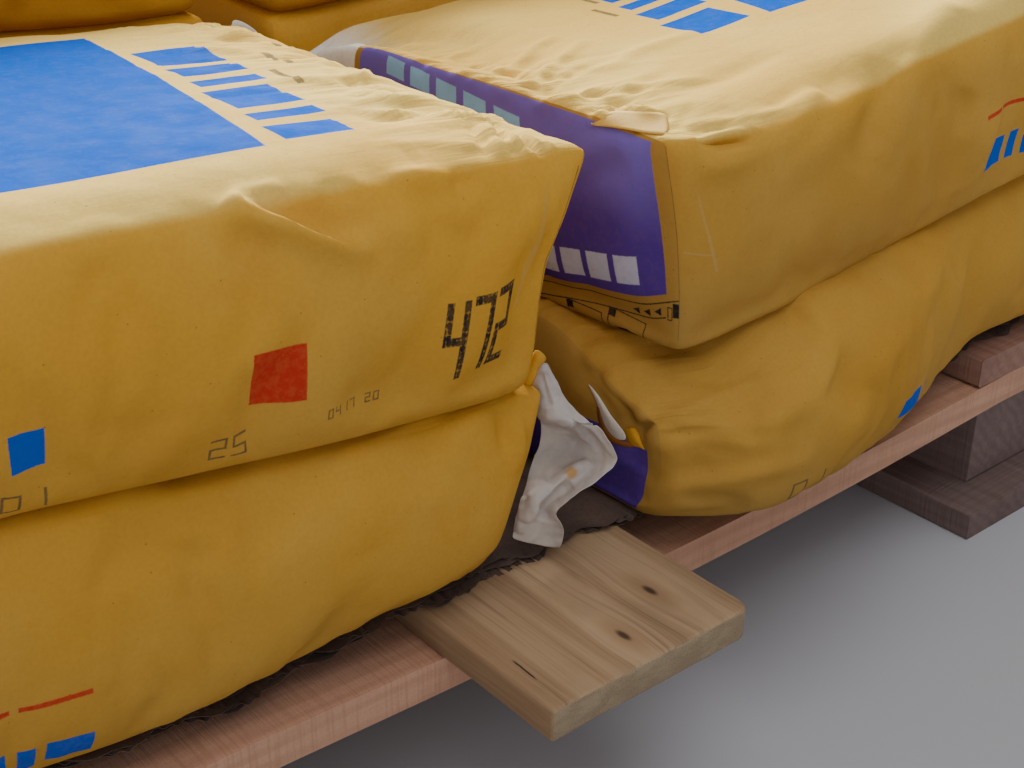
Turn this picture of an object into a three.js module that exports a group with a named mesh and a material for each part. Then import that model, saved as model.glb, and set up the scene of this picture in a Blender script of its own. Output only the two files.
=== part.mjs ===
// Pallet of sacks: block-bottom paper sacks of powder in two columns and two rows on a six-block
// softwood pallet, with a loose plank in the middle of the deck, a corrugated liner under the sacks
// and a torn piece of inner ply hanging between the columns.
// Millimetres, +Z up. X runs along the front of the pallet, Y from front to back. The origin is on the
// floor, under the middle of the whole load.
import * as THREE from "three";

// Pallet timber
const BOARD = 22; // thickness of every pallet board
const BLOCK_HEIGHT = 78;
const PALLET_HALF = 600; // half of the pallet's length along X
const PALLET_FRONT = -362; // Y of the stringer's and the deck boards' front ends
const PALLET_BACK = 438;
const STRINGER_WIDTH = 100;
const LEG_INNER = 407; // X of a block's inner face
const BLOCK_WIDTH = 145;
const BLOCK_DEPTH = 100;
const BLOCK_SETBACK = 18; // the blocks stand back from the stringers' outer edges
const BOTTOM_INNER = 370; // X of a bottom board's inner edge
const BOTTOM_WIDTH = 200;
const BOTTOM_PROUD = 12; // a bottom board's ends stand proud of the deck
const DECK_WIDTH = 100;
const DECK_INNER = [372, 500]; // X of the inner edges of the two deck boards at each end
const EASE = 1.5; // sawn arrises are eased this much
const GAP = 0.3; // clearance between pieces that rest on each other

// The stringers sag under the load, deepest a little right of the middle
const SAG = 9.6;
const SAG_X = 90;
const SAG_HALF = 317;
const SAG_POWER = 1.15;
const SAG_STEPS = 24;

// Loose plank
const PLANK_LEFT = -110;
const PLANK_RIGHT = 33;
const PLANK_THICK = 20;
const PLANK_FRONT = -450;
const PLANK_BACK = 430;

// Corrugated liner
const LINER_THICK = 5;
const LINER_HALF = 596;
const LINER_FRONT = -350;
const LINER_BACK = 428;
const LINER_SAG_LEFT = 131; // height of the liner's underside between the left deck boards and the plank
const LINER_SAG_RIGHT = 120.5; // and between the plank and the right deck boards
const LINER_RISE_NEAR = 5; // how far above its lowest it still is beside the plank
const LINER_RISE_FAR = 8; // and before it climbs onto the right deck boards

// Sacks
const ROW_FRONT = -366; // Y of the front row's front faces
const ROW_BACK = 10; // Y of the back row's front faces
const LOW_SET_IN = 6; // the low left sack stands back from the one on it
const SACK_DEPTH = 340;
const LAYER = 122; // rise from one layer to the next above the first joint
const END_ROUND = [
  [0, 14, 9],
  [12, 4, 3],
  [36, 0, 0],
]; // steps of a sack's end: distance in from the end, and how far its section shrinks in Z and Y
const SIDE_BULGE = 64; // depth of the rounded side of a sack
const SIDE_STEPS = 4; // faces on each quarter of a rounded side
const SHARP_TOP = 4.2; // the top fold of a side is crisper than the bottom one
const SOFT_BOTTOM = 2.5;
const LONGEST_STEP = 46; // greatest distance between two sections of a sack or of the liner
const END_MARGIN = 2; // least distance between a sack's end steps and its next section

const DECK_UNDER = 2 * BOARD + BLOCK_HEIGHT;
const DECK_TOP = DECK_UNDER + BOARD;

const timber = new THREE.MeshStandardMaterial({ color: 0xa8754e, roughness: 0.85, metalness: 0 });
const treated = new THREE.MeshStandardMaterial({ color: 0x9c8152, roughness: 0.85, metalness: 0 });
const board = new THREE.MeshStandardMaterial({ color: 0x4a3d35, roughness: 0.95, metalness: 0 });
const yellow = new THREE.MeshStandardMaterial({ color: 0xc8982e, roughness: 0.6, metalness: 0 });
const white = new THREE.MeshStandardMaterial({ color: 0xd8d2cc, roughness: 0.7, metalness: 0 });

const group = new THREE.Group();

function addMesh(name, geometry, material) {
  const mesh = new THREE.Mesh(geometry, material);
  mesh.name = name;
  group.add(mesh);
  return mesh;
}

// How far a stringer hangs below its straight line at x
function sag(x) {
  const t = (x - SAG_X) / SAG_HALF;
  return SAG * Math.max(0, 1 - t * t) ** SAG_POWER;
}

// A smooth curve through knots of [x, value], level at every knot
function smoothCurve(knots) {
  return (x) => {
    if (x <= knots[0][0]) return knots[0][1];
    const i = knots.findIndex(([kx]) => kx >= x);
    if (i < 0) return knots[knots.length - 1][1];
    const [x0, v0] = knots[i - 1];
    const [x1, v1] = knots[i];
    const t = (x - x0) / (x1 - x0);
    return v0 + (v1 - v0) * (1 - Math.cos(Math.PI * t)) / 2;
  };
}

// A curve through knots of [x, value] without flats, for the long swell of a layer of sacks
function splineCurve(knots) {
  const slope = knots.map((k, i) => {
    const a = knots[Math.max(0, i - 1)];
    const b = knots[Math.min(knots.length - 1, i + 1)];
    return (b[1] - a[1]) / (b[0] - a[0]);
  });
  return (x) => {
    const clamped = Math.min(Math.max(x, knots[0][0]), knots[knots.length - 1][0]);
    const i = Math.max(1, knots.findIndex(([kx]) => kx >= clamped));
    const [x0, v0] = knots[i - 1];
    const [x1, v1] = knots[i];
    const w = x1 - x0;
    const t = (clamped - x0) / w;
    const a = 2 * t ** 3 - 3 * t ** 2 + 1;
    const b = t ** 3 - 2 * t ** 2 + t;
    const c = -2 * t ** 3 + 3 * t ** 2;
    const d = t ** 3 - t ** 2;
    return a * v0 + b * w * slope[i - 1] + c * v1 + d * w * slope[i];
  };
}

// Sections at equal steps, shared by the liner and by every sack, so that faces which rest on each
// other are parallel
const KEY_X = [-600, -372, -240, PLANK_LEFT, PLANK_RIGHT, 90, 202, 300, 372, 600];
const stationX = [KEY_X[0]];
for (let i = 1; i < KEY_X.length; i++) {
  const steps = Math.ceil((KEY_X[i] - KEY_X[i - 1]) / LONGEST_STEP);
  for (let k = 1; k <= steps; k++) {
    stationX.push(KEY_X[i - 1] + ((KEY_X[i] - KEY_X[i - 1]) * k) / steps);
  }
}

// A straight board with eased arrises, from one corner to the other, with its grain along Y or X
function boardGeometry(x0, x1, y0, y1, z0, z1) {
  const alongY = y1 - y0 > x1 - x0;
  const width = alongY ? x1 - x0 : y1 - y0;
  const length = alongY ? y1 - y0 : x1 - x0;
  const height = z1 - z0;
  const section = new THREE.Shape([
    new THREE.Vector2(EASE, 0),
    new THREE.Vector2(width - EASE, 0),
    new THREE.Vector2(width, EASE),
    new THREE.Vector2(width, height - EASE),
    new THREE.Vector2(width - EASE, height),
    new THREE.Vector2(EASE, height),
    new THREE.Vector2(0, height - EASE),
    new THREE.Vector2(0, EASE),
  ]);
  const geometry = new THREE.ExtrudeGeometry(section, { depth: length, bevelEnabled: false });
  geometry.rotateX(Math.PI / 2);
  if (alongY) return geometry.translate(x0, y1, z0);
  return geometry.rotateZ(Math.PI / 2).translate(x0, y0, z0);
}

// A board whose long edges follow the sag, sawn from one plank
function stringerGeometry() {
  const outline = new THREE.Shape();
  outline.moveTo(-PALLET_HALF, 0);
  const bend = [];
  for (let i = 0; i <= SAG_STEPS; i++) bend.push(SAG_X - SAG_HALF + (2 * SAG_HALF * i) / SAG_STEPS);
  for (const x of bend) outline.lineTo(x, -sag(x));
  outline.lineTo(PALLET_HALF, 0);
  outline.lineTo(PALLET_HALF, BOARD);
  for (const x of bend.reverse()) outline.lineTo(x, BOARD - sag(x));
  outline.lineTo(-PALLET_HALF, BOARD);
  outline.closePath();
  const geometry = new THREE.ExtrudeGeometry(outline, { depth: STRINGER_WIDTH, bevelEnabled: false });
  return geometry.rotateX(Math.PI / 2).translate(0, STRINGER_WIDTH, BOARD + BLOCK_HEIGHT);
}

function addPallet() {
  const bottomY = [PALLET_FRONT - BOTTOM_PROUD, PALLET_BACK + BOTTOM_PROUD];
  const middle = (PALLET_FRONT + PALLET_BACK) / 2;
  const blockFront = {
    front: PALLET_FRONT + BLOCK_SETBACK,
    middle: middle - BLOCK_DEPTH / 2,
    rear: PALLET_BACK - BLOCK_SETBACK - BLOCK_DEPTH,
  };
  for (const side of [-1, 1]) {
    const sideName = side < 0 ? "left" : "right";
    const span = (inner, width) => (side < 0 ? [-inner - width, -inner] : [inner, inner + width]);
    const bottomX = span(BOTTOM_INNER, BOTTOM_WIDTH);
    addMesh(`bottom_board_${sideName}`, boardGeometry(...bottomX, ...bottomY, 0, BOARD), timber);
    const blockX = span(LEG_INNER, BLOCK_WIDTH);
    for (const [place, y] of Object.entries(blockFront)) {
      const block = boardGeometry(...blockX, y, y + BLOCK_DEPTH, BOARD, BOARD + BLOCK_HEIGHT);
      addMesh(`block_${sideName}_${place}`, block, timber);
    }
    DECK_INNER.forEach((inner, i) => {
      const deckX = span(inner, DECK_WIDTH);
      const deck = boardGeometry(...deckX, PALLET_FRONT, PALLET_BACK, DECK_UNDER, DECK_TOP);
      addMesh(`deck_board_${sideName}_${i ? "outer" : "inner"}`, deck, timber);
    });
  }
  const stringerY = {
    front: PALLET_FRONT,
    middle: middle - STRINGER_WIDTH / 2,
    rear: PALLET_BACK - STRINGER_WIDTH,
  };
  for (const [place, y] of Object.entries(stringerY)) {
    addMesh(`stringer_${place}`, stringerGeometry().translate(0, y, 0), timber);
  }
}

// The plank lies across the sagging stringers, so it leans with them
const plankSeatLeft = DECK_UNDER - sag(PLANK_LEFT) + GAP;
const plankSeatRight = DECK_UNDER - sag(PLANK_RIGHT) + GAP;

function addPlank() {
  const width = PLANK_RIGHT - PLANK_LEFT;
  const plank = boardGeometry(0, width, PLANK_FRONT, PLANK_BACK, 0, PLANK_THICK);
  const mesh = addMesh("loose_plank", plank, treated);
  mesh.position.set(PLANK_LEFT, 0, plankSeatLeft);
  mesh.rotation.y = Math.atan2(plankSeatLeft - plankSeatRight, width);
}

// Height of the liner's underside: flat on the deck boards and on the plank, hanging in between
const linerHang = smoothCurve([
  [-372, DECK_TOP],
  [-240, LINER_SAG_LEFT],
  [PLANK_LEFT, plankSeatLeft + PLANK_THICK],
]);
const linerDip = smoothCurve([
  [PLANK_RIGHT, plankSeatRight + PLANK_THICK],
  [90, LINER_SAG_RIGHT + LINER_RISE_NEAR],
  [202, LINER_SAG_RIGHT],
  [300, LINER_SAG_RIGHT + LINER_RISE_FAR],
  [372, DECK_TOP],
]);

function linerUnder(x) {
  if (x <= PLANK_LEFT) return linerHang(x) + GAP;
  if (x >= PLANK_RIGHT) return linerDip(x) + GAP;
  const t = (x - PLANK_LEFT) / (PLANK_RIGHT - PLANK_LEFT);
  return plankSeatLeft + (plankSeatRight - plankSeatLeft) * t + PLANK_THICK + GAP;
}

function addLiner() {
  const xs = [-LINER_HALF, ...stationX.slice(1, -1), LINER_HALF];
  const outline = new THREE.Shape();
  outline.moveTo(xs[0], linerUnder(xs[0]));
  for (const x of xs.slice(1)) outline.lineTo(x, linerUnder(x));
  for (const x of xs.reverse()) outline.lineTo(x, linerUnder(x) + LINER_THICK);
  outline.closePath();
  const depth = LINER_BACK - LINER_FRONT;
  const geometry = new THREE.ExtrudeGeometry(outline, { depth, bevelEnabled: false });
  addMesh("cardboard_liner", geometry.rotateX(Math.PI / 2).translate(0, LINER_BACK, 0), board);
}

// Height of the joint between the first and the second layer of sacks
const firstSwell = splineCurve([
  [-626, 270],
  [-450, 284],
  [-329, 281],
  [-221, 267],
  [-134, 257],
  [-30, 249],
  [20, 243],
  [108, 243],
  [254, 258],
  [359, 269],
  [480, 274],
  [626, 266],
]);
// Crown of the front row's upper sacks
const frontCrown = splineCurve([
  [-626, 384],
  [-450, 398],
  [-221, 392],
  [-30, 380],
  [20, 374],
  [80, 368],
  [169, 366],
  [286, 382],
  [420, 396],
  [626, 386],
]);

// The same height taken straight from one shared section to the next, so that a face on it lies true
function stepped(height) {
  const values = stationX.map(height);
  return (x) => {
    const i = Math.max(1, stationX.findIndex((sx) => sx >= x));
    if (x >= stationX[stationX.length - 1]) return values[values.length - 1];
    if (x <= stationX[0]) return values[0];
    const t = (x - stationX[i - 1]) / (stationX[i] - stationX[i - 1]);
    return values[i - 1] + (values[i] - values[i - 1]) * t;
  };
}
const linerTop = stepped((x) => linerUnder(x) + LINER_THICK + GAP);
const firstJoint = stepped(firstSwell);
const secondJoint = (x) => firstJoint(x) + LAYER;
const backCrown = (x) => secondJoint(x) + LAYER;

// A full sack lies on the surface under(x) and reaches up to over(x). Its long axis is X, its long
// sides are round, and its ends are the flat folded ends of a block-bottom sack. front(x) is the line
// of its front face, and a skewed end runs back at an angle.
function sackGeometry({ ends, y0, under, over, front = () => 0, skew = [0, 0] }) {
  const [x0, x1] = ends;
  const deepest = END_ROUND[END_ROUND.length - 1][0];
  const clear = deepest + END_MARGIN;
  const inner = stationX.filter((x) => x > x0 + clear && x < x1 - clear);
  const sections = [
    ...END_ROUND.map(([d, dz, dy]) => ({ x: x0 + d, dz, dy, skew: skew[0] })),
    ...inner.map((x) => ({ x, dz: 0, dy: 0, skew: 0 })),
    ...END_ROUND.map(([d, dz, dy]) => ({ x: x1 - d, dz, dy, skew: skew[1] })).reverse(),
  ];
  const quarter = [];
  for (let i = 0; i <= SIDE_STEPS; i++) quarter.push((Math.PI / 2) * (i / SIDE_STEPS));
  const power = (v, n) => Math.max(0, v) ** (2 / n);
  const ring = [];
  for (const { x, dz, dy, skew: turn } of sections) {
    const yFront = y0 + front(x) + dy;
    const yBack = y0 + SACK_DEPTH - dy;
    const points = [];
    const corner = (y, out, up, n, angles) => {
      for (const a of angles) {
        const yy = y + out * SIDE_BULGE * power(Math.cos(a), n);
        const xx = x + turn * (yy - y0);
        const low = under(xx) + dz;
        const high = over(xx) - dz;
        const half = (high - low) / 2;
        points.push([xx, yy, (low + high) / 2 + up * half * power(Math.sin(a), n)]);
      }
    };
    const back = yBack - SIDE_BULGE;
    const fore = yFront + SIDE_BULGE;
    corner(back, 1, -1, SOFT_BOTTOM, [...quarter].reverse());
    corner(back, 1, 1, SHARP_TOP, quarter.slice(1));
    corner(fore, -1, 1, SHARP_TOP, [...quarter].reverse());
    corner(fore, -1, -1, SOFT_BOTTOM, quarter.slice(1));
    ring.push(points);
  }
  const count = ring[0].length;
  const position = ring.flat(2);
  const index = [];
  for (let s = 0; s + 1 < ring.length; s++) {
    for (let k = 0; k < count; k++) {
      const a = s * count + k;
      const b = s * count + ((k + 1) % count);
      index.push(a, b, a + count, b, b + count, a + count);
    }
  }
  const last = (ring.length - 1) * count;
  for (const [start, order] of [
    [0, [0, 2, 1]],
    [last, [0, 1, 2]],
  ]) {
    const middle = new THREE.Vector3();
    for (let k = start; k < start + count; k++) {
      middle.add(new THREE.Vector3(...position.slice(3 * k, 3 * k + 3)));
    }
    middle.divideScalar(count);
    const hub = position.length / 3;
    position.push(middle.x, middle.y, middle.z);
    for (let k = 0; k < count; k++) {
      const face = [hub, start + k, start + ((k + 1) % count)];
      index.push(...order.map((o) => face[o]));
    }
  }
  const geometry = new THREE.BufferGeometry();
  geometry.setAttribute("position", new THREE.Float32BufferAttribute(position, 3));
  geometry.setIndex(index);
  return geometry;
}

// The low right sack hangs out over the gap in the deck, past the front of the pallet. Points are
// [X, how far behind the row's front the sack's front lies].
const lowRightFront = smoothCurve([
  [20, 8],
  [110, -40],
  [200, -32],
  [378, 2],
]);

function addSacks() {
  const lift = (height) => (x) => height(x) + GAP;
  const sacks = {
    sack_front_left_low: {
      ends: [-622, -44],
      y0: ROW_FRONT + LOW_SET_IN,
      under: linerTop,
      over: firstJoint,
    },
    sack_front_left_top: {
      ends: [-626, -29],
      y0: ROW_FRONT,
      under: lift(firstJoint),
      over: frontCrown,
      skew: [0, -0.05],
    },
    sack_front_right_low: {
      ends: [34, 620],
      y0: ROW_FRONT,
      under: linerTop,
      over: firstJoint,
      front: lowRightFront,
    },
    sack_front_right_top: {
      ends: [35, 626],
      y0: ROW_FRONT,
      under: lift(firstJoint),
      over: frontCrown,
      skew: [-0.14, 0],
    },
  };
  const backLayers = {
    low: [linerTop, firstJoint],
    mid: [lift(firstJoint), secondJoint],
    top: [lift(secondJoint), backCrown],
  };
  for (const [layer, [under, over]] of Object.entries(backLayers)) {
    sacks[`sack_back_left_${layer}`] = { ends: [-624, -30], y0: ROW_BACK, under, over };
    sacks[`sack_back_right_${layer}`] = { ends: [22, 624], y0: ROW_BACK, under, over };
  }
  for (const [name, shape] of Object.entries(sacks)) addMesh(name, sackGeometry(shape), yellow);
}

// Torn inner ply: its outline lies in one upright plane that crosses the gap between the columns.
// Points are [distance along the plane, height above the foot, which stands on the liner].
const PAPER_THICK = 2;
const PAPER_FOOT = [-43, -338]; // X and Y of the plane's left edge
const PAPER_TURN = -0.442; // radians from the X axis
const PAPER_OUTLINE = [
  [24, 0],
  [36, 11],
  [24, 21],
  [33, 34],
  [57, 48],
  [61, 56],
  [48, 78],
  [30, 89],
  [19, 105],
  [9, 105],
  [12, 73],
  [3, 49],
  [1, 11],
];

function addPaper() {
  const outline = new THREE.Shape(PAPER_OUTLINE.map(([s, z]) => new THREE.Vector2(s, z)));
  const geometry = new THREE.ExtrudeGeometry(outline, { depth: PAPER_THICK, bevelEnabled: false });
  const mesh = addMesh("torn_paper", geometry.rotateX(Math.PI / 2), white);
  mesh.position.set(PAPER_FOOT[0], PAPER_FOOT[1], linerTop(PAPER_FOOT[0] + PAPER_OUTLINE[0][0]));
  mesh.rotation.z = PAPER_TURN;
}

addPallet();
addPlank();
addLiner();
addSacks();
addPaper();

export default group;
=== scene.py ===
import math
import random

import bmesh
import bpy
import numpy as np
from mathutils import Matrix, Vector
from mathutils.bvhtree import BVHTree


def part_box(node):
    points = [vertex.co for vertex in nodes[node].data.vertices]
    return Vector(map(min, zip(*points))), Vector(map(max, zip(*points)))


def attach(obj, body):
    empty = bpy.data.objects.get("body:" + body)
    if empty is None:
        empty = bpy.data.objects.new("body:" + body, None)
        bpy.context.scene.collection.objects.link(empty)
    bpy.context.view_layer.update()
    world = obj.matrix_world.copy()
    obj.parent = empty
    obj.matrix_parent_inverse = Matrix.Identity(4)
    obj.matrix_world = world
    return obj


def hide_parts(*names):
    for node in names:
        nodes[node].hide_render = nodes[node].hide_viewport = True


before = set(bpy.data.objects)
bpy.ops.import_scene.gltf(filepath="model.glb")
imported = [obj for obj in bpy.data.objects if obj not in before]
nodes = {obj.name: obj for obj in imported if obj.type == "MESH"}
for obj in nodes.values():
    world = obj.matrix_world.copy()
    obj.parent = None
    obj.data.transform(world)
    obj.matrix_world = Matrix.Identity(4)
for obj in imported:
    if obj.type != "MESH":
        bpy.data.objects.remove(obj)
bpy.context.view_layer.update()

# Camera, fitted to the straight edges of the pallet: place in metres, turns in degrees
CAMERA_PLACE = Vector((-0.49566, -0.87518, 0.60793))
CAMERA_YAW = 40.09
CAMERA_PITCH = 27.04
CAMERA_ROLL = 0.46
FOCAL_PIXELS = 1495.24
IMAGE_WIDTH, IMAGE_HEIGHT = 1024, 768
SENSOR_WIDTH = 36.0
MILLIMETRE = 0.001

# Paper sacks: spacing of the mesh, how the solids are measured, the powder's slow swell and how full
# the sacks are
SACK_NODES = [name for name in nodes if name.startswith("sack_")]
SACK_DEPTH = 0.34
FRONT_CELL = 0.0062
BACK_CELL = 0.0085
END_CLEAR = 0.013
END_STEP = 0.037
PROFILE_STATIONS = 61
LEAN_REACH = 0.09
SWELL_SIZE = 0.16
SWELL = 0.006

# Buckling of the paper over its filling: how much too large it is cut, how far it may move, and how
# much less near the edges, which stay crisp
PAPER_SPARE = 0.045
BUCKLE_FRAMES = 20
BUCKLE_LIMIT = 0.008
CRISP_LIMIT = 0.002
CRISP_REACH = 0.035
PAPER_CLOTH = {
    "quality": 4,
    "mass": 0.25,
    "tension_stiffness": 40,
    "compression_stiffness": 40,
    "shear_stiffness": 20,
    "bending_stiffness": 2,
    "air_damping": 3,
    "use_pressure": True,
    "uniform_pressure_force": 4,
    "shrink_min": -PAPER_SPARE,
    "vertex_group_mass": "held",
}

# Gathers that run in from a sack's ends: ranges in metres, heading in radians
GATHER_COUNT = 190
GATHER_HEIGHT = 0.0022
GATHER_HEADING = 0.3
GATHER_RUN = (0.03, 0.13)
GATHER_START = (-0.01, 0.03)
GATHER_WIDTH = (0.002, 0.0048)
GATHER_TIP = 0.012

# Creases and loose flaps
CREASE_DEPTH = 1.7
CREASE_TAPER = 0.35
PLY_TAPER = 0.15
PLY_THICK = 0.0004

# Printing
INK_EDGE = 0.0004
INK_RAGGED = 0.0003
SPECK_RATE = 120

# Plank: worn corner, eased edges, knots (x, y, radius) and one short crack
PLANK_WORN_CORNER = 0.009
PLANK_EASE = 0.0022
PLANK_CUTS_ALONG = 60
PLANK_CUTS_ACROSS = 14
PLANK_KNOTS = [(0.0, -0.405, 0.004), (-0.04, -0.426, 0.004)]
PLANK_CRACK = ((-0.099, -0.405), (-0.1, -0.427))
PLANK_CRACK_HALF_WIDTH = 0.0007

# Liner: waves along its length, thickness over all, of one ply and the room that the plies take
LINER_FLUTES = 170
LINER_THICK = 0.0046
LINER_PLY = 0.00035
LINER_PLIES = 0.0006
LINER_LIFT = 0.0002
LINER_STATIONS = 121
LINER_FLAT_COLUMNS = 260
LINER_ROWS = 12
FLUTE_COLUMNS = 8

# Torn front edge of the liner: waves as (size, how fast along x, shift with the ply's height, start),
# the edge's mean distance from the front, and the fray as (reach, size, how fast, shift with height)
LINER_TORN = ((0.004, 41, 900, 0.0), (0.003, 97, 0, 1.3), (0.002, 233, 4000, 0.0))
LINER_EDGE = 0.01
LINER_FRAY = (0.02, 0.0012, 60, 1500)

# Torn ply: an upright plane that crosses the gap between the columns
PAPER_PLANE_POINT = (-0.043, -0.338, 0.2)
PAPER_PLANE_NORMAL = (math.sin(0.442), math.cos(0.442), 0)
PAPER_SPOT = (-0.012, -0.352, 0.19)

# Rows of the torn ply: pixels of the photograph, with how many millimetres each lies before the plane
PAPER_ROWS = [
    [(534, 366, 0), (538, 364, 3.6), (542, 363, 5.4), (546, 363, 3.6), (549, 365, 0)],
    [(532, 380, 0), (539, 379, 5.4), (546, 380, 7.2), (550, 380, 5.4), (555, 381, 1.8)],
    [(534, 397, 0), (543, 396, 7.2), (552, 396, 9), (556, 396, 7.2), (562, 397, 1.8)],
    [(537, 414, 1.8), (547, 416, 10.8), (558, 414, 12.6), (569, 412, 9), (578, 413, 3.6)],
    [(539, 418, 1.8), (549, 422, 10.8), (564, 422, 12.6), (580, 423, 10.8), (590, 424, 5.4)],
    [(541, 421, -10.8), (550, 425, -12.6), (566, 427, -10.8), (586, 427, 1.8), (598, 427, 7.2)],
    [(541, 440, -14.4), (554, 441, -18), (572, 440, -18), (594, 441, -3.6), (610, 442, 9)],
    [(535, 458, -14.4), (550, 458, -18), (572, 460, -16.2), (600, 457, -5.4), (618, 458, 7.2)],
    [(529, 472, -10.8), (545, 474, -9), (568, 470, -5.4), (592, 471, 0), (612, 469, 9)],
    [(526, 486, -7.2), (541, 484, 0), (560, 486, 0), (578, 485, 5.4), (594, 483, 12.6)],
    [(522, 498, -3.6), (533, 497, 5.4), (548, 498, 1.8), (562, 497, 7.2), (574, 496, 14.4)],
    [(518, 514, 0), (528, 512, 7.2), (538, 512, 3.6), (546, 512, 5.4), (554, 513, 10.8)],
    [(515, 528, 0), (529, 527, 7.2), (541, 527, 3.6), (554, 525, 5.4), (565, 529, 9)],
    [(512, 538, 1.8), (526, 542, 5.4), (539, 545, 3.6), (551, 547, 3.6), (561, 548, 5.4)],
]

# Creases of the torn ply: pixels, height and width in millimetres, and kind
PLY_CREASES = [
    ([(536, 417), (549, 423), (572, 422), (586, 436), (600, 452)], -4, 4, "fold"),
    ([(590, 461), (574, 471), (558, 483), (535, 498), (529, 522)], 4, 3, "ridge"),
    ([(572, 484), (556, 494), (545, 507), (540, 520)], -4, 3, "ridge"),
    ([(546, 366), (557, 391), (570, 407), (596, 433), (614, 457)], 2, 2, "ridge"),
    ([(540, 372), (545, 390), (548, 408)], -2, 3, "ridge"),
    ([(571, 443), (582, 441), (592, 444)], -1.5, 1.5, "ridge"),
    ([(525, 497), (522, 515), (518, 532)], 2, 3, "ridge"),
]


def deselect_all():
    for obj in bpy.context.selected_objects:
        obj.select_set(False)


def make_active(obj):
    deselect_all()
    obj.select_set(True)
    bpy.context.view_layer.objects.active = obj


def apply_modifier(obj, kind, **settings):
    make_active(obj)
    bpy.ops.object.modifier_add(type=kind)
    modifier = obj.modifiers[-1]
    for key, value in settings.items():
        setattr(modifier, key, value)
    bpy.ops.object.modifier_apply(modifier=modifier.name)


def points_of(obj):
    flat = np.empty(len(obj.data.vertices) * 3, np.float32)
    obj.data.vertices.foreach_get("co", flat)
    return flat.reshape(-1, 3).astype(float)


def normals_of(obj):
    flat = np.empty(len(obj.data.vertices) * 3, np.float32)
    obj.data.vertex_normals.foreach_get("vector", flat)
    return flat.reshape(-1, 3).astype(float)


def set_points(obj, points):
    obj.data.vertices.foreach_set("co", points.astype(np.float32).ravel())
    obj.data.update()


# Camera and sight lines of the photograph
def camera_axes():
    yaw, pitch, roll = (math.radians(a) for a in (CAMERA_YAW, CAMERA_PITCH, CAMERA_ROLL))
    ahead = Vector((math.sin(yaw) * math.cos(pitch), math.cos(yaw) * math.cos(pitch), -math.sin(pitch)))
    level = Vector((math.cos(yaw), -math.sin(yaw), 0))
    above = level.cross(ahead)
    right = math.cos(roll) * level + math.sin(roll) * above
    up = -math.sin(roll) * level + math.cos(roll) * above
    return right, up, ahead


def sight_line(pixel):
    right, up, ahead = camera_axes()
    across = (pixel[0] - IMAGE_WIDTH / 2) / FOCAL_PIXELS
    down = (pixel[1] - IMAGE_HEIGHT / 2) / FOCAL_PIXELS
    return (ahead + across * right - down * up).normalized()


def surface_of(obj):
    vertices = [v.co.copy() for v in obj.data.vertices]
    return BVHTree.FromPolygons(vertices, [tuple(p.vertices) for p in obj.data.polygons])


def seen_on(tree, pixel):
    """The point of a surface that the photograph shows at a pixel."""
    return tree.ray_cast(CAMERA_PLACE, sight_line(pixel))[0]


def add_camera():
    right, up, ahead = camera_axes()
    data = bpy.data.cameras.new("camera")
    data.lens = FOCAL_PIXELS / IMAGE_WIDTH * SENSOR_WIDTH
    data.sensor_width = SENSOR_WIDTH
    data.clip_start = 0.05
    camera = bpy.data.objects.new("camera", data)
    bpy.context.scene.collection.objects.link(camera)
    turn = Matrix((right, up, -ahead)).transposed()
    camera.matrix_world = Matrix.Translation(CAMERA_PLACE) @ turn.to_4x4()
    bpy.context.scene.camera = camera


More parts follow.
